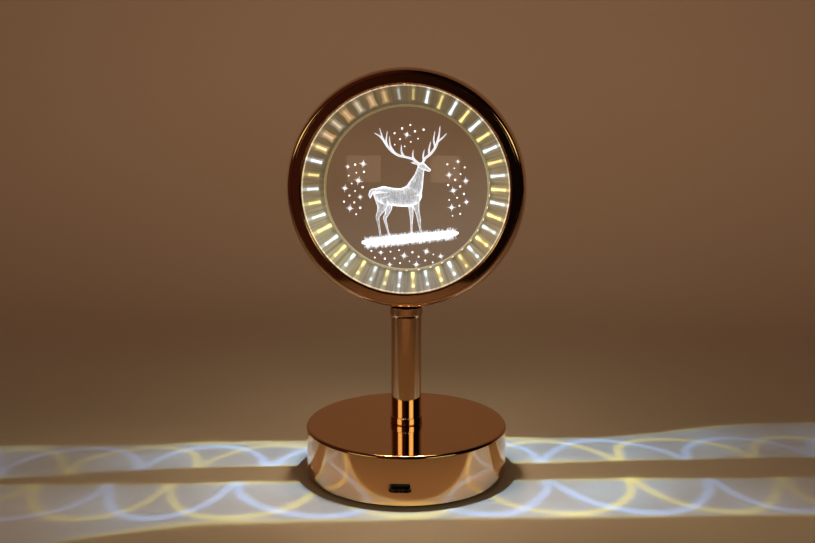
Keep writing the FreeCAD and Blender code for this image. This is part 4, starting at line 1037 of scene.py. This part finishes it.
torso = [(-13.2, -1.5, 2.2), (-10.4, -2.1, 3.7), (-6.4, -2.9, 3.8), (-2.2, -3.3, 4.0), (1.6, -2.7, 4.5),
         (4.6, -1.5, 3.6), (6.0, -0.8, 2.0)]
neck = [(3.0, -1.2, 4.0), (4.4, 2.4, 3.1), (5.6, 5.8, 2.1), (6.3, 8.8, 1.6), (6.6, 10.4, 1.3)]
skull = [(5.5, 10.5, 1.2), (7.2, 10.1, 1.5), (8.8, 9.2, 1.0), (10.4, 8.3, 0.7)]
ear = [(5.6, 10.8, 0.4), (4.2, 11.5, 0.6), (2.2, 11.7, 0.15)]
near_foreleg = [(3.9, -2.6, 2.5), (4.5, -7.0, 1.35), (5.3, -10.8, 0.85), (5.7, -12.6, 0.85),
                (6.1, -16.0, 0.5), (6.6, -18.4, 0.5), (7.1, -20.6, 0.7)]
far_foreleg = [(1.8, -4.0, 2.0), (2.2, -8.2, 1.1), (2.4, -12.0, 0.75), (2.4, -16.0, 0.45), (2.5, -18.8, 0.5),
               (3.0, -21.0, 0.65)]
near_hindleg = [(-10.6, -1.6, 3.6), (-10.2, -6.4, 2.5), (-11.2, -9.6, 1.35), (-12.2, -11.8, 0.9),
                (-11.7, -15.2, 0.55), (-11.2, -19.0, 0.5), (-10.6, -22.2, 0.7)]
far_hindleg = [(-8.6, -3.4, 2.8), (-7.6, -7.6, 1.7), (-8.4, -10.8, 0.95), (-9.2, -12.4, 0.8),
               (-8.4, -16.0, 0.5), (-7.6, -19.0, 0.45), (-7.0, -21.8, 0.65)]
tail = [(-13.0, 0.0, 0.7), (-14.8, -0.8, 0.95), (-15.5, -2.6, 0.7), (-15.4, -3.8, 0.2)]
body = bmesh.new()
for thickness, level, route, sides in (
        (4.2, 0.0, torso, 24), (3.0, 0.0, neck, 20), (2.4, 0.0, skull, 18), (0.8, -0.8, ear, 14),
        (2.0, -1.2, near_foreleg, 14), (1.8, 1.2, far_foreleg, 14), (2.2, -1.2, near_hindleg, 14),
        (2.0, 1.2, far_hindleg, 14), (1.4, 0.0, tail, 14)):
    limb(body, thickness, level, route, sides)
stag = in_glass("marked_stag", body)
skin = stag.modifiers.new("skin", "REMESH")
skin.mode = "VOXEL"
skin.voxel_size = 0.16 * mm
skin.use_smooth_shade = True
soften = stag.modifiers.new("soften", "SMOOTH")
soften.factor = 0.5
soften.iterations = 4
keep_result(stag)

rear_antler = [
    [(6.0, 10.8, 0.42), (3.4, 13.0, 0.5), (0.2, 14.0, 0.48), (-3.6, 15.0, 0.5), (-7.0, 17.6, 0.5),
     (-9.6, 21.4, 0.42), (-11.2, 26.2, 0.12)],
    [(3.9, 12.6, 0.4), (3.0, 14.4, 0.36), (3.2, 17.0, 0.1)],
    [(-0.6, 14.1, 0.4), (-1.8, 16.2, 0.36), (-1.9, 19.2, 0.1)],
    [(-4.4, 15.4, 0.4), (-6.6, 18.8, 0.34), (-7.0, 22.8, 0.1)],
    [(-7.8, 18.6, 0.4), (-8.4, 20.9, 0.34), (-7.9, 25.0, 0.1)],
    [(-9.4, 20.9, 0.36), (-11.2, 22.9, 0.3), (-13.4, 24.2, 0.1)],
]
front_antler = [
    [(6.8, 10.9, 0.42), (8.4, 13.6, 0.5), (10.8, 15.6, 0.5), (12.8, 18.6, 0.48), (14.0, 22.6, 0.4),
     (14.6, 27.2, 0.12)],
    [(7.7, 12.5, 0.38), (7.4, 14.4, 0.34), (7.9, 17.2, 0.1)],
    [(10.0, 14.9, 0.4), (9.9, 17.2, 0.36), (10.6, 20.6, 0.1)],
    [(12.6, 18.2, 0.38), (11.9, 21.2, 0.32), (12.4, 25.0, 0.1)],
    [(13.4, 20.4, 0.36), (15.4, 22.0, 0.3), (17.4, 24.0, 0.1)],
]
horns = bmesh.new()
for antler, level in ((rear_antler, -0.8), (front_antler, 0.8)):
    for number, branch in enumerate(antler):
        limb(horns, 0.7 if number else 0.8, level, branch, 10, 0.5)
antlers = in_glass("marked_antlers", horns)


def laser_marks(name, low, high, power):
    """White laser dots, their glow painted light: dense and bright at the edges of a form, thinner in its
    middle.
    """
    finish = Finish(name, Roughness=0.9, Emission_Strength=power)
    facing = finish.axes(finish.node("TexCoord", output="Normal"))[1]
    edge = 1 - facing * facing
    strokes = finish.noise(1500.0, 3.0, (1.0, 1.0, 0.35))
    dots = finish.noise(6000.0, 2.0)
    bright = finish.between(edge * 1.05 + strokes * 1.1 - 0.38, 0.1, 0.9, low, high)
    grain = finish.between(dots, 0.35, 0.6, 0.75, 1.0)
    finish.glow(finish.blended(bright * grain, (0, 0, 0), (0.93, 0.95, 1.0)))
    finish.feed("Base Color", finish.blended(dots, (0.5, 0.5, 0.52), (0.7, 0.7, 0.72)))
    finish.feed("Alpha", finish.between(edge + strokes * 0.8, 0.25, 0.8, 0.45, 1.0))
    return finish


stag.data.materials.append(laser_marks("laser_marks", 0.2, 1.0, 1.65).material)
bold_marks = laser_marks("laser_marks_bold", 0.8, 1.0, 2.2)
antlers.data.materials.append(laser_marks("laser_marks_fine", 0.55, 1.0, 1.3).material)

bump_seed = 5
bumps_per_mm = 1.4
bump_height = 0.5
bank = bmesh.new()
limb(bank, 4.4, 0.0, [(-19.0, -23.2, 0.7), (-14.0, -22.6, 1.4), (-6.0, -21.9, 1.7), (4.0, -20.9, 1.7),
                      (13.0, -19.9, 1.5), (19.6, -19.0, 1.2), (22.6, -18.6, 0.6)], 24, 0.5)
seed_set(bump_seed)
for vertex in bank.verts:
    vertex.co += noise_vector(vertex.co * bumps_per_mm) * bump_height
snow = in_glass("marked_snow", bank)
snow.data.materials.append(bold_marks.material)

blade = bmesh.new()
bmesh.ops.create_cone(blade, cap_ends=True, segments=5, radius1=0.2 * mm, radius2=0.03 * mm, depth=2.2 * mm)
bmesh.ops.translate(blade, vec=(0, 0, 1.6 * mm), verts=blade.verts)
blade_shape = helper_shape("blade", blade)
tufts = Pattern("frosted_tufts", Count=700, Left=-17.6 * mm, Right=21.0 * mm, Level=-21.4 * mm,
                Slope=0.115, Height=head_height, Seed=7)
tuft_x = tufts.random(tufts.size("Left"), tufts.size("Right"), 0)
tuft_y = tufts.random(-1.2 * mm, 1.2 * mm, 1)
tuft_z = tufts.size("Height") + tufts.size("Level") + tuft_x * tufts.size("Slope")
every_second_down = (tufts.node("GeometryNodeInputIndex") * 0.5).fraction() * 2 * math.pi
tuft_lean = tufts.random(-0.55, 0.55, 2) + every_second_down
tuft_set = tufts.repeated(tufts.points(tufts.vector(tuft_x, tuft_y, tuft_z)), blade_shape, tuft_lean,
                          tufts.random(0.55, 1.2, 3))
grass = tufts.made("marked_tufts", tuft_set, laser_marks("laser_marks_frost", 0.35, 0.9, 1.1))
bpy.data.objects.remove(blade_shape)


def star_shape(name, rays, long, short):
    """A flat star of slim rays, long and short in turn, drawn about its own centre."""
    half_thick = 0.18 * mm
    waist = 0.3 * mm
    shape = bmesh.new()
    front = shape.verts.new((0, -half_thick, 0))
    back = shape.verts.new((0, half_thick, 0))
    rim = []
    for i in range(rays * 2):
        turn = math.pi * i / rays
        reach = waist if i % 2 else (long if i % 4 == 0 else short)
        rim.append(shape.verts.new((reach * math.sin(turn), 0, reach * math.cos(turn))))
    for i in range(rays * 2):
        after = rim[(i + 1) % (rays * 2)]
        shape.faces.new((rim[i], after, front))
        shape.faces.new((after, rim[i], back))
    bmesh.ops.recalc_face_normals(shape, faces=shape.faces)
    return helper_shape(name, shape)


def dot_shape(name, radius):
    shape = bmesh.new()
    bmesh.ops.create_icosphere(shape, subdivisions=2, radius=radius)
    bmesh.ops.scale(shape, vec=(1, 0.6, 1), verts=shape.verts)
    return helper_shape(name, shape)


def clear_of_figure(x, z):
    """True beside the stag, between its antlers and below its bank."""
    reach = math.hypot(x, z)
    beside = abs(x) > 17.5 and -12 < z < 13 and reach < 27.5
    between_antlers = abs(x - 1) < 7.5 and 18.5 < z < 28
    below_bank = z < -25.5 and abs(x) < 18 and reach > 26
    return beside or between_antlers or below_bank


def sky(name, places, item, seed):
    """Repeats a star or a dot at its places, each turned a little and of a size of its own."""
    shape = bmesh.new()
    for x, y, z in places:
        shape.verts.new((x * mm, y * mm, z * mm + head_height))
    spots = helper_shape("spots", shape)
    pattern = Pattern(name, Seed=seed, Smallest=0.6, Largest=1.2, Lean=0.3)
    grow = pattern.random(pattern.size("Smallest"), pattern.size("Largest"), 0)
    lean = pattern.random(pattern.size("Lean") * -1, pattern.size("Lean"), 5)
    piece = pattern.made(name, pattern.repeated(pattern.shape(spots), item, lean, grow), bold_marks)
    bpy.data.objects.remove(item)
    bpy.data.objects.remove(spots)
    return piece


star_field = 34.0
star_tries = 300
star_places = []
dot_places = []
for number in range(star_tries):
    reach = star_field * math.sqrt((number + 0.5) / star_tries)
    turn = number * math.pi * (3 - math.sqrt(5))
    x, z = reach * math.sin(turn), reach * math.cos(turn)
    if clear_of_figure(x, z):
        kept = dot_places if number % 4 else star_places
        kept.append((x, 1.5 * math.sin(number), z))
stars = sky("marked_stars", star_places, star_shape("star", 8, 1.9 * mm, 1.2 * mm), 11)
dots = sky("marked_dots", dot_places, dot_shape("dot", 0.42 * mm), 4)
for piece in (stag, antlers, snow, grass, stars, dots):
    piece.visible_glossy = False  # The marks are too fine to show in the plated metal.
    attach(piece, "root")
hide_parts("engraved_stag")
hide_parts("engraved_snow")
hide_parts("engraved_stars")

# The visual model's box is measured and set beside the CAD model's.
visual_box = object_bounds()
({"cad": [list(corner) for corner in cad_box],
           "visual": [list(corner) for corner in visual_box]})
